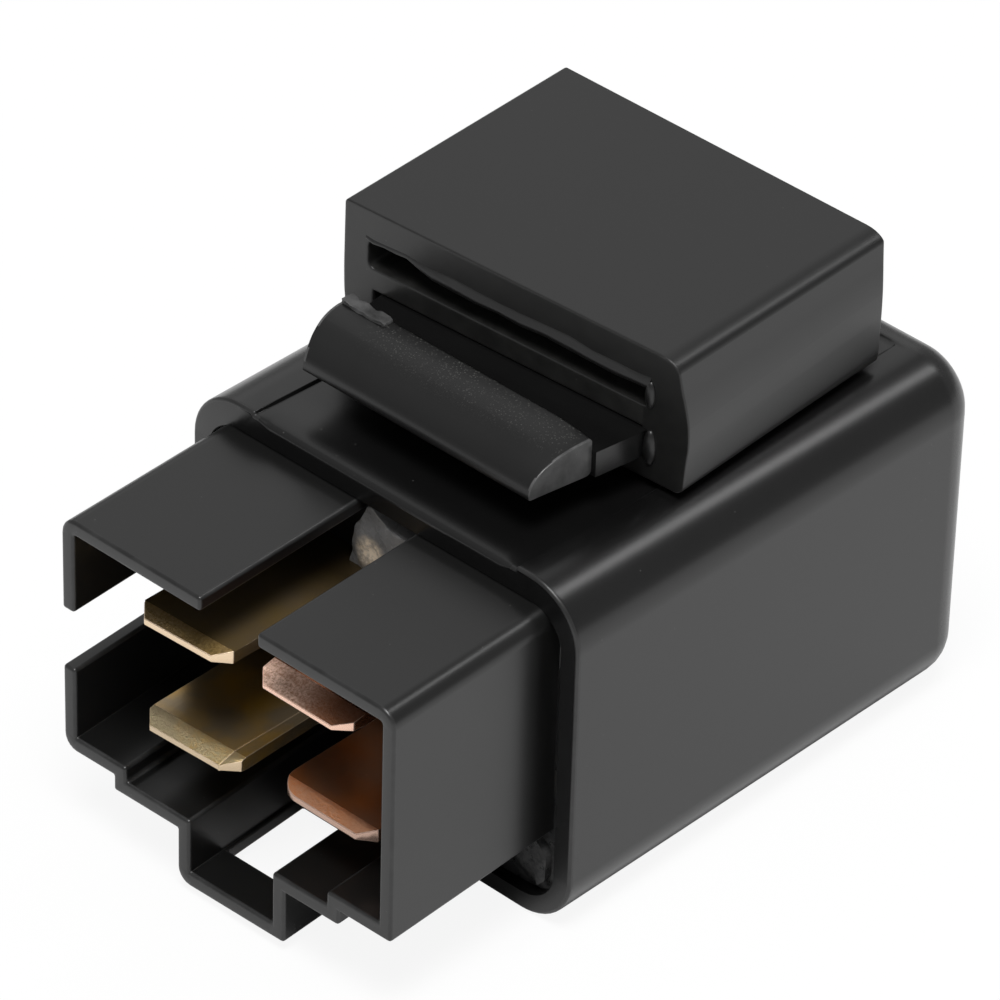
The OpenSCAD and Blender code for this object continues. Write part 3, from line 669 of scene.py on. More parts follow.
def build_tongue():
    bm = bmesh.new()
    front, back_face, half = DEPTH - 3.9, DEPTH - 1.8, TONGUE_HALF - 1.4
    strip = side_face(bm, [
        (LIP_BACK - 0.05, TONGUE_LOW, 0), (front + 0.3, TONGUE_LOW, 0),
        (front + 0.3, TONGUE_HIGH, 0), (LIP_BACK - 0.05, TONGUE_HIGH, 0)], -TONGUE_HALF)
    push(bm, strip, (2 * TONGUE_HALF, 0, 0))
    post = side_face(bm, [
        (front, HEIGHT - 0.9, 0), (back_face, HEIGHT - 0.9, 0), (back_face, TONGUE_HIGH, 0.3),
        (front - 0.8, TONGUE_HIGH - 0.02, 0), (front - 0.8, TONGUE_LOW - 0.02, 0),
        (front, TONGUE_LOW - 0.02, 0.8)], -half)
    push(bm, post, (2 * half, 0, 0))
    face_outward(bm)
    cut_across(bm, 1, (LIP_BACK + 2.7,))
    for vert in bm.verts:
        if vert.co.y < LIP_BACK + 0.1:
            vert.co.x = math.copysign(TONGUE_HALF - 0.4, vert.co.x)
    round_edges(bm, sharp_edges(bm, 50), 0.12, segments=2, mark=0.6)
    finish_piece(bm, "tongue", CASE_BLACK, "case")


build_tongue()

# %% [markdown]
# The lip at the tongue's front end is half round at the nose. Its ends taper to the front,
# its right end sinks a little, and torn flash lies on its left end. The flash is made
# first, because the painted light on the ends and the painted glint on their rims are then
# set on the lip alone.

# %% Build the lip
def add_flash(bm):
    """A torn ridge of flash on the left end of the lip."""
    add_box(bm, (-7.1, 6.15, 24.95), (3.0, 0.75, 0.42))
    bmesh.ops.subdivide_edges(bm, edges=bm.edges[:], cuts=9, use_grid_fill=True)
    for turn in range(2):
        bmesh.ops.smooth_vert(
            bm, verts=bm.verts[:], factor=0.5, use_axis_x=True, use_axis_y=True,
            use_axis_z=True)
    shake(bm.verts, 1.3, 0.12, (0, 0.6, 1))
    shake(bm.verts, 5.1, 0.05, (0.3, 1, 1))
    layer = edge_marks(bm)
    for face in bm.faces:
        face[layer] = 1.0


def paint_lip_end_light(bm, left, right):
    """Paints light on the lip's ends, and a painted glint on the tops of the rims beside them."""
    layer = edge_marks(bm)
    for face in bm.faces:
        middle = centre(face)
        on_rim = middle.x > right or middle.x < left
        if face[layer]:
            continue
        # painted light: the end caps are marked lighter
        if abs(face.normal.x) > 0.7:
            face[layer] = 0.8
        # a painted glint along the top of each rim, in two parts
        elif on_rim and face.normal.z > 0.3 and not 2.9 < middle.y < 3.9:
            face[layer] = 1.0


def taper_lip(bm, left, right):
    for vert in bm.verts:
        ahead = (LIP_BACK - vert.co.y) / (LIP_BACK - LIP_FRONT)
        if vert.co.x > 5.5:
            sink = 0.3 * ((vert.co.x - 5.5) / 2.5) ** 2
            vert.co.z -= sink * max(0.0, (vert.co.y - 2.9) / 3.6)
        if vert.co.x > right - 0.5:
            vert.co.x -= 0.35 * ahead
        elif vert.co.x < left + 0.5:
            height = (vert.co.z - LIP_LOW) / (LIP_HIGH - LIP_LOW)
            vert.co.x += 0.7 * ahead - 1.6 * ahead * (1 - ahead) * height


def build_lip():
    bm = bmesh.new()
    edge_marks(bm)
    add_flash(bm)
    left, right, rim = -8.6, 8.0, 0.13
    shape = side_face(bm, [
        (LIP_BACK, LIP_LOW, 0.4), (LIP_BACK - 0.05, LIP_HIGH, 0.12), (5.1, 24.93, 0.62),
        (3.9, 24.65, 0.55), (2.95, 24.2, 0.47), (LIP_FRONT - 0.03, 23.5, 0.42),
        (LIP_FRONT, LIP_LOW, 0.1)], left)
    push(bm, shape, (right - left, 0, 0))
    cut_across(bm, 0, (left + rim, 5.6, 6.4, 7.2, right - rim))
    face_outward(bm)
    paint_lip_end_light(bm, left + rim, right - rim)
    taper_lip(bm, left, right)
    # the right cap's upper edges are rounded and marked for a painted glint
    cap_glint_edges = sharp_edges(bm, 60, lambda e: (
        middle_of(e).x > right - 0.6 and middle_of(e).z > LIP_LOW + 0.3
        and middle_of(e).y < LIP_BACK - 0.15))
    round_edges(bm, cap_glint_edges, 0.06, segments=2, clamp=False)
    finish_piece(bm, "lip", LIP_BLACK, "case")


build_lip()

# %% [markdown]
# ## The rubber sleeve
#
# The sleeve is a rubber block with two slots across it. The tongue fills the lower one and
# stretches the sides there, and the upper one is free for a metal tab of the vehicle. To be
# rounded cleanly each face edge needs a band of its own, so the outline and the slots are
# inset first, and only the flat between the bands is filled.

# %% Sizes of the sleeve and its slots
SLEEVE_FRONT, SLEEVE_BACK = 9.1, DEPTH - 4.95
SLEEVE_LOW, SLEEVE_HIGH = 21.11, 28.89
SLOTS = ((8.74, 22.56, 24.14, 0.0), (9.1, 25.42, 27.05, 0.3))  # half, low, high, radius
BAND = 0.2


def in_slot(place, slot, reach):
    half, low, high, radius = slot
    return abs(place.x) < half + reach and low - reach < place.z < high + reach


def leave_ring(bm, face):
    """Insets a face, deletes its middle and gives back the inner edges."""
    bmesh.ops.inset_region(
        bm, faces=[face], thickness=BAND, use_even_offset=True, use_boundary=True)
    inner = list(face.edges)
    drop_faces(bm, [face])
    return inner


def fill_between(bm, bands):
    """Fills the flat between the outer band and the bands round the slots."""
    def is_seam(edge):
        place = middle_of(edge)
        inside = abs(place.x) < 9.9 and SLEEVE_LOW + 0.4 < place.z < SLEEVE_HIGH - 0.4
        in_hole = any(in_slot(place, slot, 0.01) for slot in SLOTS)
        return (inside or edge in bands) and not in_hole

    seams = [e for e in bm.edges if len(e.link_faces) == 1 and is_seam(e)]
    bmesh.ops.triangle_fill(bm, edges=seams, use_beauty=True, normal=(0, -1, 0))


print("sleeve is", SLEEVE_BACK - SLEEVE_FRONT, "mm deep")

# %% [markdown]
# A bead of flash hangs over the upper slot, torn thinner to the left, and the rubber
# bulges at the right ends of both slots. At last the whole sleeve is set askew on its
# tongue: the front face is turned, and the bulge of its sides fades behind.

# %% Lightened front, painted light in the slots, beads and skew
def lighten_front_paint_slot_light(bm):
    """Marks the front lighter, the bar between slots more, and paints light in the slots."""
    layer = edge_marks(bm)
    for face in bm.faces:
        place = centre(face)
        if place.y < SLEEVE_FRONT + 0.02:
            between = abs(place.x) < 8.8 and 24.2 < place.z < 25.4
            face[layer] = 0.35 if between else 0.15
        # painted light on the walls inside the slots, which lie in shade
        if abs(face.normal.y) < 0.3 and any(in_slot(place, slot, 0.02) for slot in SLOTS):
            face[layer] = 0.4


def add_bead(bm):
    front, old_verts, old_faces = SLEEVE_FRONT, set(bm.verts), set(bm.faces)
    bead = side_face(bm, [
        (front + 0.3, 27.3, 0), (front - 0.02, 27.24, 0.06), (front - 0.2, 26.72, 0.14),
        (front - 0.08, 26.5, 0.1), (front + 0.3, 26.54, 0)], -9.3, segments=3)
    push(bm, bead, (18.5, 0, 0))
    cuts = (-8.8, -8.1, -7.3, -6.6, -5.8, -4.9, -3.5, -2.0, -0.5, 1.0, 2.5, 4.0, 5.5, 7.0, 8.4)
    cut_across(bm, 0, cuts, lambda f: f not in old_faces)
    fresh = [v for v in bm.verts if v not in old_verts]
    for vert in fresh:
        size = min(1.0, max(0.28, (vert.co.x + 7.4) / 3.2))
        vert.co.y = front + (vert.co.y - front) * size
        vert.co.z = 27.2 + (vert.co.z - 27.2) * size
    shake(fresh, 0.55, 0.14, (0, 0, 1))
    shake([v for v in fresh if v.co.x < -5], 2.2, 0.09, (0, 0.3, 1))


def add_bulges(bm):
    for across, up, size in ((9.22, 26.25, (0.3, 0.3, 0.8)), (9.3, 23.1, (0.4, 0.36, 1.05))):
        place = placed((across, SLEEVE_FRONT, up), size)
        bmesh.ops.create_uvsphere(bm, u_segments=20, v_segments=12, radius=1, matrix=place)


def skew_sleeve(bm):
    left, right, fade = -10.74, 10.85, 0.2  # where the bulge starts, and what stays of it
    for vert in bm.verts:
        x, y, z = vert.co
        share = (y - SLEEVE_FRONT) / (SLEEVE_BACK - SLEEVE_FRONT)
        if x < 0:
            behind = x - 0.2 if x > left else left - 0.2 + fade * (x - left)
        else:
            behind = x if x < right else right + fade * (x - right)
        vert.co.x = x + share * (behind - x) - 0.35 - 0.026 * (y - SLEEVE_FRONT)
        vert.co.y = y + 0.009 * x + (1 - share) * (0.05 * x + 0.04)


# %% Build the rubber sleeve
def build_sleeve():
    bm = bmesh.new()
    low, high = SLEEVE_LOW, SLEEVE_HIGH
    outer = outline_face(bm, [
        (-10.74, high, 0.25), (-10.78, 26.3, 1.0), (-10.8, 24.4, 0.9), (-10.74, 22.9, 0.9),
        (-10.42, low, 1.2), (11.45, low, 0.6), (11.55, 22.9, 0.9), (11.75, 24.4, 0.9),
        (11.6, 26.0, 1.0), (11.15, 27.4, 0.9), (10.85, high, 1.1)], SLEEVE_FRONT)
    bands = leave_ring(bm, outer)
    for half, slot_low, slot_high, radius in SLOTS:
        leave_ring(bm, box_face(
            bm, half + BAND, slot_low - BAND, slot_high + BAND, radius + 0.24, SLEEVE_FRONT, 4))
    fill_between(bm, bands)
    thicken(bm, SLEEVE_BACK - SLEEVE_FRONT)

    def on_skin(vert):
        return abs(vert.co.x) > 9.75 or not low + 0.5 < vert.co.z < high - 0.5

    for end, into in ((SLEEVE_FRONT, 1), (SLEEVE_BACK, -1)):
        soften_end(bm, end, 0.09, steps=3, into=into, mark=0.12, pick=on_skin)
        soften_end(
            bm, end, 0.1, steps=3, into=into, mark=0.1, pick=lambda v: not on_skin(v))
    lighten_front_paint_slot_light(bm)
    known = set(bm.faces)
    add_bead(bm)
    add_bulges(bm)
    face_outward(bm, known)
    skew_sleeve(bm)
    finish_piece(bm, "sleeve", RUBBER_BLACK, "rubber_sleeve")


build_sleeve()

# %% [markdown]
# ## The connector shroud
#
# The shroud is a thin wall all round the blades, with a slot in its top, a window in its
# left side, a floor in two steps and a keyway below. Its outline becomes a strip of faces,
# the openings are cut out of that sheet, and only then does it get its thickness.

# %% Sizes of the shroud
SHROUD_END = 1.6
SHROUD_HALF, SHROUD_TOP, SHROUD_WALL = 11.45, 19.35, 0.85
SIDE_FLOOR, MID_FLOOR, KEY_FLOOR, STEP = 5.3, 4.4, 1.2, 7.9
SLOT_LEFT, SLOT_RIGHT = -1.7, 2.2
WINDOW_LOW, WINDOW_HIGH, WINDOW_END = 10.35, 13.8, -3.0
KEY_LEFT, KEY_RIGHT = -3.35, 4.15
HOLE_MIDDLE, HOLE_HALF, HOLE_FRONT = 0.4, 2.75, SHROUD_FRONT + 2.6


def on_left_wall(face):
    return centre(face).x < -SHROUD_HALF + 0.01


def on_key_floor(face):
    return centre(face).z < KEY_FLOOR + 0.01


print("shroud is", round(SHROUD_END - SHROUD_FRONT, 2), "mm deep")

# %% Sheet, openings and plate of the shroud
def shroud_sheet(bm):
    half, top = SHROUD_HALF, SHROUD_TOP
    closed = outline_face(bm, [
        (SLOT_RIGHT, top, 0), (half, top, 1.0), (half, SIDE_FLOOR, 0), (STEP, SIDE_FLOOR, 0),
        (STEP, MID_FLOOR, 0), (KEY_RIGHT, MID_FLOOR, 0), (KEY_RIGHT, KEY_FLOOR, 0),
        (KEY_LEFT, KEY_FLOOR, 0.9), (KEY_LEFT, MID_FLOOR, 0), (-STEP, MID_FLOOR, 0),
        (-STEP, SIDE_FLOOR, 0), (-half, SIDE_FLOOR, 0.9), (-half, top, 1.0),
        (SLOT_LEFT, top, 0)], SHROUD_FRONT, segments=5)
    drop_faces(bm, [closed])
    slot = [
        e for e in bm.edges
        if abs(middle_of(e).z - top) < 0.01 and SLOT_LEFT < middle_of(e).x < SLOT_RIGHT]
    bmesh.ops.delete(bm, geom=slot, context="EDGES")
    made = bmesh.ops.extrude_edge_only(bm, edges=bm.edges[:])["geom"]
    shift_made(bm, made, (0, SHROUD_END - SHROUD_FRONT, 0))


def cut_openings(bm):
    """Cuts the window in the left wall and the hole in the keyway's floor."""
    cut_across(bm, 2, (WINDOW_LOW, WINDOW_HIGH), on_left_wall)
    cut_across(bm, 1, [WINDOW_END], on_left_wall)
    cut_across(bm, 0, (HOLE_MIDDLE - HOLE_HALF, HOLE_MIDDLE + HOLE_HALF), on_key_floor)
    cut_across(bm, 1, (HOLE_FRONT, WINDOW_END), on_key_floor)

    def is_open(face):
        x, y, z = centre(face)
        if y > WINDOW_END:
            return False
        if on_left_wall(face):
            return WINDOW_LOW < z < WINDOW_HIGH
        return on_key_floor(face) and abs(x - HOLE_MIDDLE) < HOLE_HALF and y > HOLE_FRONT

    bmesh.ops.delete(bm, geom=[f for f in bm.faces if is_open(f)], context="FACES")


def droop(bm):
    """Lets the shroud hang and twist a little to its front, as the moulding warped."""
    for vert in bm.verts:
        share = max(0, (SHROUD_END - vert.co.y) / (SHROUD_END - SHROUD_FRONT))
        depth = (SHROUD_TOP - vert.co.z) / SHROUD_TOP
        vert.co.z += share * ((0.005 + 0.025 * depth) * vert.co.x - 0.33 - 0.42 * depth)
        vert.co.x *= 1 + 0.008 * share


def add_plate(bm):
    """The plate behind the shroud, and the magnet's platform."""
    known = set(bm.faces)
    push(bm, box_face(bm, 12.15, 1.2, SHROUD_TOP, 2.1, 1.4, 8), (0, 2.6, 0))
    add_box(bm, (0, 13.3, 1.9), (15, 19.8, 1))
    for side in (-7, 7):
        add_box(bm, (side, 13.3, 2.6), (1, 19.8, 2.4))
    face_outward(bm, known)


# %% Build the connector base
def build_base():
    bm = bmesh.new()
    shroud_sheet(bm)
    cut_openings(bm)
    face_outward(bm)
    right = [f for f in bm.faces if centre(f).x > SHROUD_HALF - 0.01][0]
    if right.normal.x < 0:
        bmesh.ops.reverse_faces(bm, faces=bm.faces[:])
    bmesh.ops.solidify(bm, geom=bm.faces[:], thickness=SHROUD_WALL)
    face_outward(bm)
    corners = sharp_edges(bm, 55, lambda e: middle_of(e).y < SHROUD_END - 0.1)
    round_edges(bm, corners, 0.2, segments=3, mark=0.7, clamp=False)
    droop(bm)
    add_plate(bm)
    finish_piece(bm, "base", BASE_BLACK, "connector_base")


build_base()

# %% [markdown]
# ## Metals
#
# No two blades look alike: brown brass, olive brass, scuffed copper and smooth copper. Fine
# scratches run along them under cloudy stains, painted shade darkens them toward their
# roots deep in the shroud, and their sheared edges are bright. The sloped tip, marked in
# its own attribute, is rubbed in grains, and on the scuffed copper that rubbing fades
# across the blade.

# %% Metal finishes
ROOT_SHADE = (0.05, 0.035, 0.02)


def strip_metal(name, dark, warm, tip, bright, rough, fade=None):
    """A rolled metal: dark and warm stains, the tip's colour and bright edges."""
    material, tree, shader, place = start_material(name)
    marks = use(tree, SCRATCHES, place, Across=5000.0, Along=500.0, Cloud_scale=330.0)
    edge, sheared = mark_of(tree, "edge"), mark_of(tree, "tip")
    across, along, up = axes_of(tree, place)
    cloud = remap(tree, marks["Clouds"], 0.38, 0.66, 0.0, 1.0)
    base = blend_colours(tree, cloud, dark, warm)
    grit = patchy(tree, place, (6500.0, 4.0, 0.75), 0.36, 0.6, 0.2, 1.0)
    smear = patchy(tree, place, (900.0, 3.0, 0.6), 0.35, 0.6, 0.7, 1.0)
    rough_tip = times(tree, sheared, grit)
    rubbed = times(tree, rough_tip, smear)
    if fade:
        rubbed = times(tree, rubbed, remap(tree, across, *fade, 1.0, 0.12))
    base = blend_colours(tree, rubbed, base, tip)
    base = blend_colours(tree, edge, base, bright)
    # painted shade: the blades darken toward their roots, deep in the shroud
    root = remap(tree, along, metres(-4.0), metres(-0.8), 0.0, 0.85)
    base = blend_colours(tree, root, base, ROOT_SHADE)
    dull = times(tree, marks["Lines"], 0.1, rough)
    dull = times(tree, sheared, 0.22, dull)
    height = times(tree, marks["Lines"], 0.4)
    height = times(tree, rough_tip, 3.0, height)
    surface(tree, shader, base, dull, height, 0.00001, 0.7, metallic=0.82)
    return material


BRASS_UPPER = strip_metal(
    "brown brass", (0.33, 0.24, 0.14), (0.40, 0.27, 0.10), (0.17, 0.105, 0.03),
    (0.85, 0.66, 0.46), 0.16)
BRASS_LOWER = strip_metal(
    "olive brass", (0.34, 0.26, 0.16), (0.62, 0.36, 0.06), (0.38, 0.32, 0.19),
    (0.62, 0.49, 0.34), 0.16)
COPPER_UPPER = strip_metal(
    "scuffed copper", (0.28, 0.10, 0.045), (0.36, 0.13, 0.05), (1.0, 0.74, 0.60),
    (0.95, 0.64, 0.50), 0.22, fade=(0.0028, 0.0056))
COPPER_LOWER = strip_metal(
    "smooth copper", (0.42, 0.20, 0.11), (0.58, 0.19, 0.05), (0.50, 0.26, 0.15),
    (0.50, 0.35, 0.28), 0.2)

# %% [markdown]
# ## The blades
#
# A blade is cut from strip, so its outline is drawn from above and extruded by the strip's
# thickness. The points in front are moved together, which squeezes the tip thinner.

# %% Shape a blade
THICK, CUT = 0.8, 0.8
BLADE_HALF = 3.15


def squeeze_tip(bm, up, tip, slope, drop):
    for vert in bm.verts:
        if vert.co.y < tip + slope:
            ahead = (tip + slope - vert.co.y) / slope
            vert.co.z += ahead * (-drop if vert.co.z > up else 0.14)


def press_groove(bm, across, up):
    """A shallow line along the blade's upper face."""
    cut_across(bm, 0, [across + side for side in (-0.09, 0, 0.09)])
    line = [v for v in bm.verts if abs(v.co.x - across) < 0.01 and v.co.z > up]
    bmesh.ops.translate(bm, verts=line, vec=(0, 0, -0.05))


def mark_tip(bm, tip, slope):
    tip_layer = bm.faces.layers.float.new("tip")
    edge_layer = edge_marks(bm)
    for face in bm.faces:
        depth = centre(face).y
        if depth < tip + slope - 0.02 and face.normal.z > 0.5:
            face[tip_layer] = 1.0 if depth < tip + slope * 0.55 else 0.8
        if depth < tip + CUT and abs(face.normal.z) < 0.4:
            face[edge_layer] = 0.9


print("blade tools ready")

# %% Build the four blades
def build_blade(
        name, metal, middle, up, tip, tail, node, slope=1.1, drop=0.34, corner=0.0,
        groove=None, twist=0.0, half=BLADE_HALF, extra=()):
    """A blade. The tail is its outline behind the shroud."""
    bm = bmesh.new()
    left = [(middle - half, tip + CUT, 0), (middle - half + CUT, tip, 0)]
    if corner:
        left = [(middle - half, tip, corner)]
    blade = turned_face(bm, [
        *left, (middle + half - CUT, tip, 0), (middle + half, tip + CUT, 0), *tail],
        -90, "X", (0, 0, up - THICK / 2), 8)
    push(bm, blade, (0, 0, THICK))
    for box_middle, size in extra:
        add_box(bm, box_middle, size)
    face_outward(bm)
    cut_across(bm, 1, (tip + slope * 0.55, tip + slope))
    squeeze_tip(bm, up, tip, slope, drop)
    for vert in bm.verts:
        if vert.co.y < 0:
            vert.co.z += twist * (vert.co.x - middle + half) / (2 * half) * vert.co.y / tip
    if groove:
        press_groove(bm, middle + groove, up)
    round_edges(bm, sharp_edges(bm, 35), 0.05, segments=2, mark=1.0)
    mark_tip(bm, tip, slope)
    finish_piece(bm, name, metal, node)


UPPER, LOWER, COLUMN, TIP = 14.7, 8.3, 4.2, -10.0
LEFT_EDGE, RIGHT_EDGE = COLUMN - BLADE_HALF, COLUMN + BLADE_HALF
post_left, post_right = -RIGHT_EDGE, -COLUMN - 1.95
coil_tail = [
    (-LEFT_EDGE, 7.1, 0), (post_right, 7.1, 0), (post_right, 9.9, 0), (post_left, 9.9, 0)]
contact_tail = [
    (RIGHT_EDGE, 4.8, 0), (5.5, 4.8, 0), (5.5, 8.7, 0), (0.5, 8.7, 0), (0.5, 4.0, 0),
    (LEFT_EDGE, 4.0, 0)]
common_tail = [(COLUMN + 3.95, 5.8, 0), (COLUMN - 2.35, 5.8, 0)]
common_steps = [((4.05, 5.4, 5.1), (4.4, 0.8, 6.2)), ((4.05, 7.0, 2.8), (4.4, 4.0, 0.8))]
build_blade(
    "blade_brass_upper", BRASS_UPPER, -COLUMN - 0.12, UPPER - 0.28, TIP, coil_tail,
    "coil_terminal_upper", slope=0.85, drop=0.28, twist=0.3)
build_blade(
    "blade_brass_lower", BRASS_LOWER, -COLUMN + 0.35, LOWER - 0.36, TIP, coil_tail,
    "coil_terminal_lower", slope=1.1, groove=2.45, twist=0.3, half=3.28)
build_blade(
    "blade_copper_upper", COPPER_UPPER, COLUMN - 0.2, UPPER + 0.35, TIP, contact_tail,
    "contact_terminal", slope=1.6, drop=0.4)
build_blade(
    "blade_copper_lower", COPPER_LOWER, COLUMN + 0.8, LOWER, -9.2, common_tail,
    "common_terminal", slope=0.8, drop=0.3, corner=1.3, extra=common_steps)

# %% [markdown]
# ## Resin
#
# Dark resin seals the gap between the can's rim and the base, and a paler lump lies over
# the terminals' roots. Each has clouds of a second colour, and spots where the stain is
# strong or the resin is pale.

# %% Resin finishes
def resin_finish(name, main, stain, stain_share, rough, spots=()):
    """A poured resin. Each spot is its middle and reach in metres, and its colour."""
    material, tree, shader, place = start_material(name)
    clouds = noise(tree, place, 620.0, 4.0, 0.6)
    stained = remap(tree, clouds, stain_share, stain_share + 0.12, 0.0, 1.0)
    base = blend_colours(tree, stained, main, stain)
    wisps = patchy(tree, place, (3200.0, 4.0, 0.7), 0.42, 0.58, 0.35, 1.0)
    for middle, reach, colour in spots:
        away = add(tree, "ShaderNodeVectorMath", operation="DISTANCE")
        away = feed(tree, away, (0, 1), (place, middle))["Value"]
        near = remap(tree, away, reach * 0.55, reach, 1.0, 0.0)
        base = blend_colours(tree, times(tree, near, wisps), base, colour)
    swirl = noise(tree, place, 1500.0, 3.0, 0.6)
    dull = remap(tree, swirl, 0.3, 0.7, rough - 0.08, rough + 0.14)
    surface(tree, shader, base, dull, swirl, 0.00005, 0.6)
    return material


DARK_RESIN = resin_finish(
    "dark resin", (0.006, 0.006, 0.0065), (0.012, 0.011, 0.010), 0.58, 0.3,
    [((0.0008, metres(0.6), 0.0191), 0.0008, (0.25, 0.12, 0.02)),
     ((0.0106, metres(0.3), 0.0031), 0.0024, (0.055,) * 3)])
PALE_RESIN = resin_finish(
    "pale resin", (0.15,) * 3, (0.12, 0.10, 0.075), 0.6, 0.24,
    [((-0.0012, metres(0.6), 0.0161), 0.0011, (0.60, 0.50, 0.38))])

# %% [markdown]
# Poured resin is uneven. The ring is bridged between two outlines, cut finer and shaken,
# with a wedge in its lower right corner. The lump is cut in squares and shaken too.

# %% Build the resin pieces
def build_sealing():
    bm = bmesh.new()
    drop_faces(bm, [box_face(bm, 12.24, 1.11, 19.44, 2.19, 0.75, 8)])
    inside = outline_face(bm, [
        (11.46, 19.36, 1.0), (11.46, 5.29, 0.2), (7.91, 5.29, 0.2), (7.91, 4.39, 0.2),
        (4.16, 4.39, 0.2), (4.16, 1.19, 0), (-3.36, 1.19, 0), (-3.36, 4.39, 0.2),
        (-7.91, 4.39, 0.2), (-7.91, 5.29, 0.2), (-11.46, 5.29, 0.9),
        (-11.46, 19.36, 1.0)], 0.75, segments=3)
    drop_faces(bm, [inside])
    bmesh.ops.bridge_loops(bm, edges=bm.edges[:])
    bmesh.ops.subdivide_edges(bm, edges=bm.edges[:], cuts=2, use_grid_fill=True)
    thicken(bm, 0.64)
    shake([v for v in bm.verts if v.co.y < 0.8], 1.1, 0.1, (0, 1, 0))
    known = set(bm.faces)
    wedge = outline_face(bm, [
        (9.2, 2.9, 0.05), (10.7, 2.5, 0.2), (10.85, 1.7, 0.1), (11.4, 2.3, 0.2),
        (11.45, 3.9, 0.3), (10.3, 4.9, 0)], 0.3, segments=3)
    push(bm, wedge, (0, 0.6, 0))
    face_outward(bm, known)
    finish_piece(bm, "sealing", DARK_RESIN, "sealing_resin")


def build_root_resin():
    bm = bmesh.new()
    lump = outline_face(bm, [
        (-3.0, 11.6, 0.3), (3.5, 11.6, 0.3), (3.5, 17.4, 0.3), (0.95, 18.1, 0.2),
        (0.05, 18.22, 0.15), (-0.5, 18.5, 0.15), (-1.05, 18.98, 0.1), (-1.4, 18.88, 0.1),
        (-1.8, 17.95, 0.2), (-2.2, 17.4, 0.15), (-2.5, 15.6, 0.3)], 0.4, segments=3)
    push(bm, lump, (0, 0.9, 0))
    face_outward(bm)
    square = 0.4
    cut_across(bm, 0, [square * k - 2.6 for k in range(15)])
    cut_across(bm, 2, [square * k + 11.9 for k in range(18)])
    shake([v for v in bm.verts if v.co.y < 0.6], 1.4, 0.12, (0, 1, 0))
    rim = sharp_edges(bm, 60, lambda e: middle_of(e).y < 0.6)
    round_edges(bm, rim, 0.08, segments=2, mark=0.0)
    finish_piece(bm, "root_resin", PALE_RESIN, "terminal_resin")


build_sealing()
build_root_resin()

# %% [markdown]
# ## The works inside
#
# The magnet, the armature and the contacts keep their CAD shapes, and get finishes from
# the same groups.

# %% Finishes for the inner solids
def plain_metal(name, colour, second, rough, along):
    material, tree, shader, place = start_material(name)
    marks = use(tree, SCRATCHES, place, Across=4200.0, Along=along, Cloud_scale=500.0)
    cloud = remap(tree, marks["Clouds"], 0.35, 0.65, 0.0, 1.0)
    dull = times(tree, marks["Lines"], 0.2, rough)
    base = blend_colours(tree, cloud, colour, second)
    surface(tree, shader, base, dull, marks["Lines"], 0.000006, 0.5, metallic=1.0)
    return material


def plain_coat(name, colour, second, rough, grain):
    material, tree, shader, place = start_material(name)
    skin = use(tree, MOULDED_SKIN, place, Grain_scale=grain, Patch_scale=400.0)
    lift = math_node(tree, "ADD", skin["Patches"], 0.5, clamp=True)
    dull = math_node(tree, "ADD", skin["Patches"], rough, clamp=True)
    base = blend_colours(tree, lift, colour, second)
    surface(tree, shader, base, dull, skin["Grain"], 0.00001, 0.4)
    return material


INNER = {
    plain_metal("plated iron", (0.42, 0.42, 0.41), (0.52, 0.52, 0.50), 0.28, 300.0):
        ["yoke", "core", "armature", "stop_bracket"],
    plain_metal("spring bronze", (0.48, 0.30, 0.14), (0.58, 0.38, 0.18), 0.24, 300.0):
        ["contact_spring"],
    plain_metal("spring wire", (0.50, 0.51, 0.52), (0.60, 0.61, 0.62), 0.22, 900.0):
        ["return_spring"],
    plain_metal("contact silver", (0.70, 0.70, 0.68), (0.80, 0.80, 0.77), 0.3, 2000.0):
        ["moving_contact", "fixed_contact"],
    plain_metal("tinned wire", (0.55, 0.55, 0.54), (0.66, 0.66, 0.64), 0.3, 800.0):
        ["resistor_leads", "spring_rivets"],
    plain_coat("enamelled wire", (0.26, 0.07, 0.025), (0.34, 0.11, 0.04), 0.25, 3000.0):
        ["coil_winding", "coil_lead_upper", "coil_lead_lower"],
    plain_coat("bobbin plastic", (0.03, 0.055, 0.035), (0.045, 0.075, 0.05), 0.4, 6000.0):
        ["bobbin"],
    plain_coat("resistor lacquer", (0.42, 0.27, 0.13), (0.5, 0.33, 0.17), 0.35, 4000.0):
        ["suppression_resistor"],
}
for material, nodes in INNER.items():
    for node in nodes:
        mesh = bpy.data.objects[node].data
        mesh.materials.clear()
        mesh.materials.append(material)
print("inner solids finished:", sum(len(nodes) for nodes in INNER.values()))

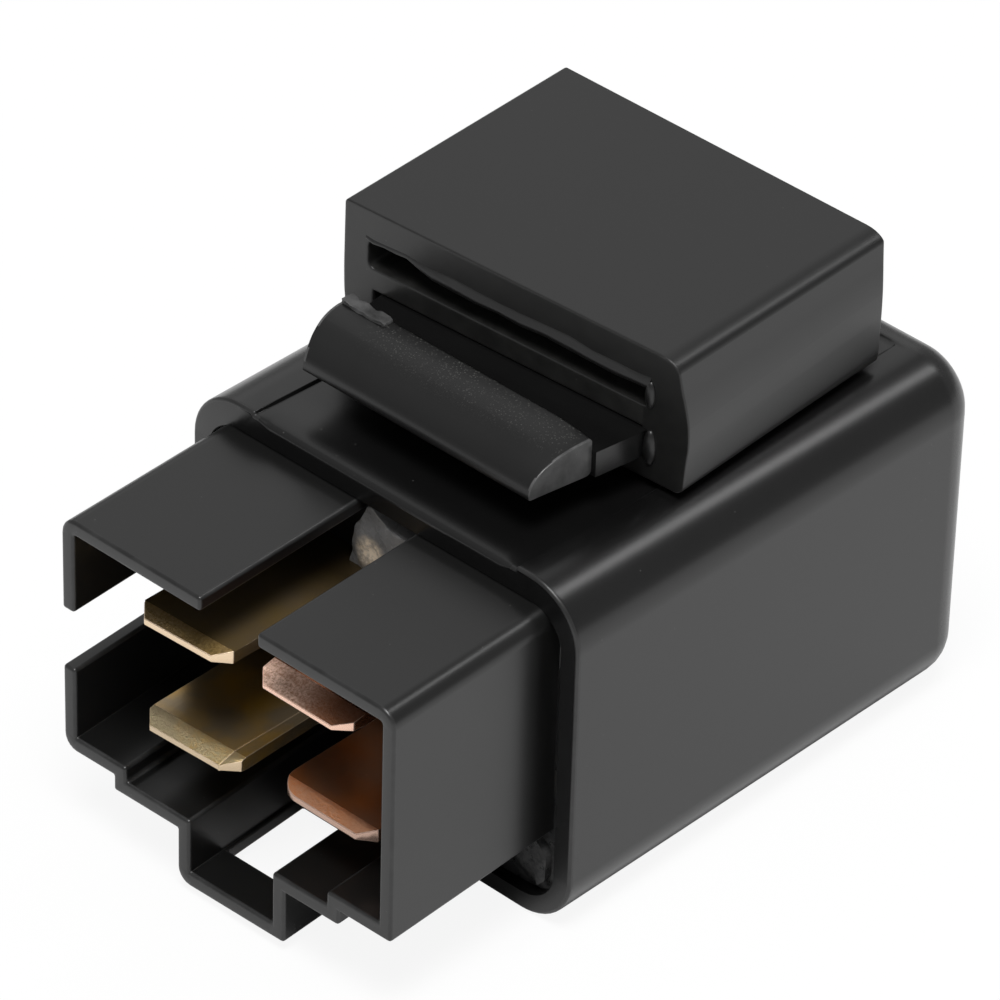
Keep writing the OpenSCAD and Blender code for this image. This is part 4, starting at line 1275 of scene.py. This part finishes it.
# %% [markdown]
# ## Floor and light
#
# The table is white to the camera but for a faint shadow, while the relay sees it as it is
# really lit. The brightest lamp hangs over the front right, and two weaker ones behind draw
# the rear edges.

# %% Build the floor
def build_floor():
    material = bpy.data.materials.new("table")
    material.use_nodes = True
    tree = material.node_tree
    shader = tree.nodes["Principled BSDF"]
    labels = ("Base Color", "Roughness", "Specular IOR Level")
    shown = feed(tree, shader, labels, ((0.8, 0.8, 0.8, 1), 0.9, 0.1))[0]
    glow = add(tree, "ShaderNodeEmission")
    glow.inputs["Color"].default_value = (1, 1, 1, 1)
    ray = add(tree, "ShaderNodeLightPath")
    mixed = add(tree, "ShaderNodeMixShader")
    share = times(tree, ray.outputs["Is Camera Ray"], 0.9)
    mixed = feed(tree, mixed, range(3), (share, shown, glow.outputs[0]))
    plug(tree, mixed[0], tree.nodes["Material Output"].inputs["Surface"])
    bm = bmesh.new()
    bmesh.ops.create_grid(bm, x_segments=1, y_segments=1, size=3)
    floor = link_object("table", mesh_from(bm, "table", material))


build_floor()
print("table ready")

# %% World and lamps
def build_world(fill):
    """White to the camera, and a share of that as light."""
    world = bpy.data.worlds.new("studio")
    world.use_nodes = True
    bpy.context.scene.world = world
    tree = world.node_tree
    background = tree.nodes["Background"]
    ray = add(tree, "ShaderNodeLightPath").outputs
    seen = math_node(
        tree, "ADD", ray["Is Camera Ray"], ray["Is Transmission Ray"], clamp=True)
    mixed = times(tree, seen, 1.0 - fill, fill)
    feed(tree, background, ("Color", "Strength"), ((1, 1, 1, 1), mixed))


def lamp(name, place, size, power):
    data = bpy.data.lights.new(name, "AREA")
    data.shape = "RECTANGLE"
    data.size, data.size_y = size
    data.energy = power
    light = link_object(name, data)
    light.location = place
    light.rotation_euler = (-Vector(place)).to_track_quat("-Z", "Y").to_euler()


build_world(0.36)
lamp("overhead softbox", (0.16, -0.2, 0.8), (0.35, 0.35), 6.8)
lamp("back softbox", (-0.436, 0.475, 0.474), (0.5, 0.5), 0.33)
lamp("strip softbox", (0.17, 0.445, 0.585), (0.12, 0.3), 0.6)
print("stage ready")
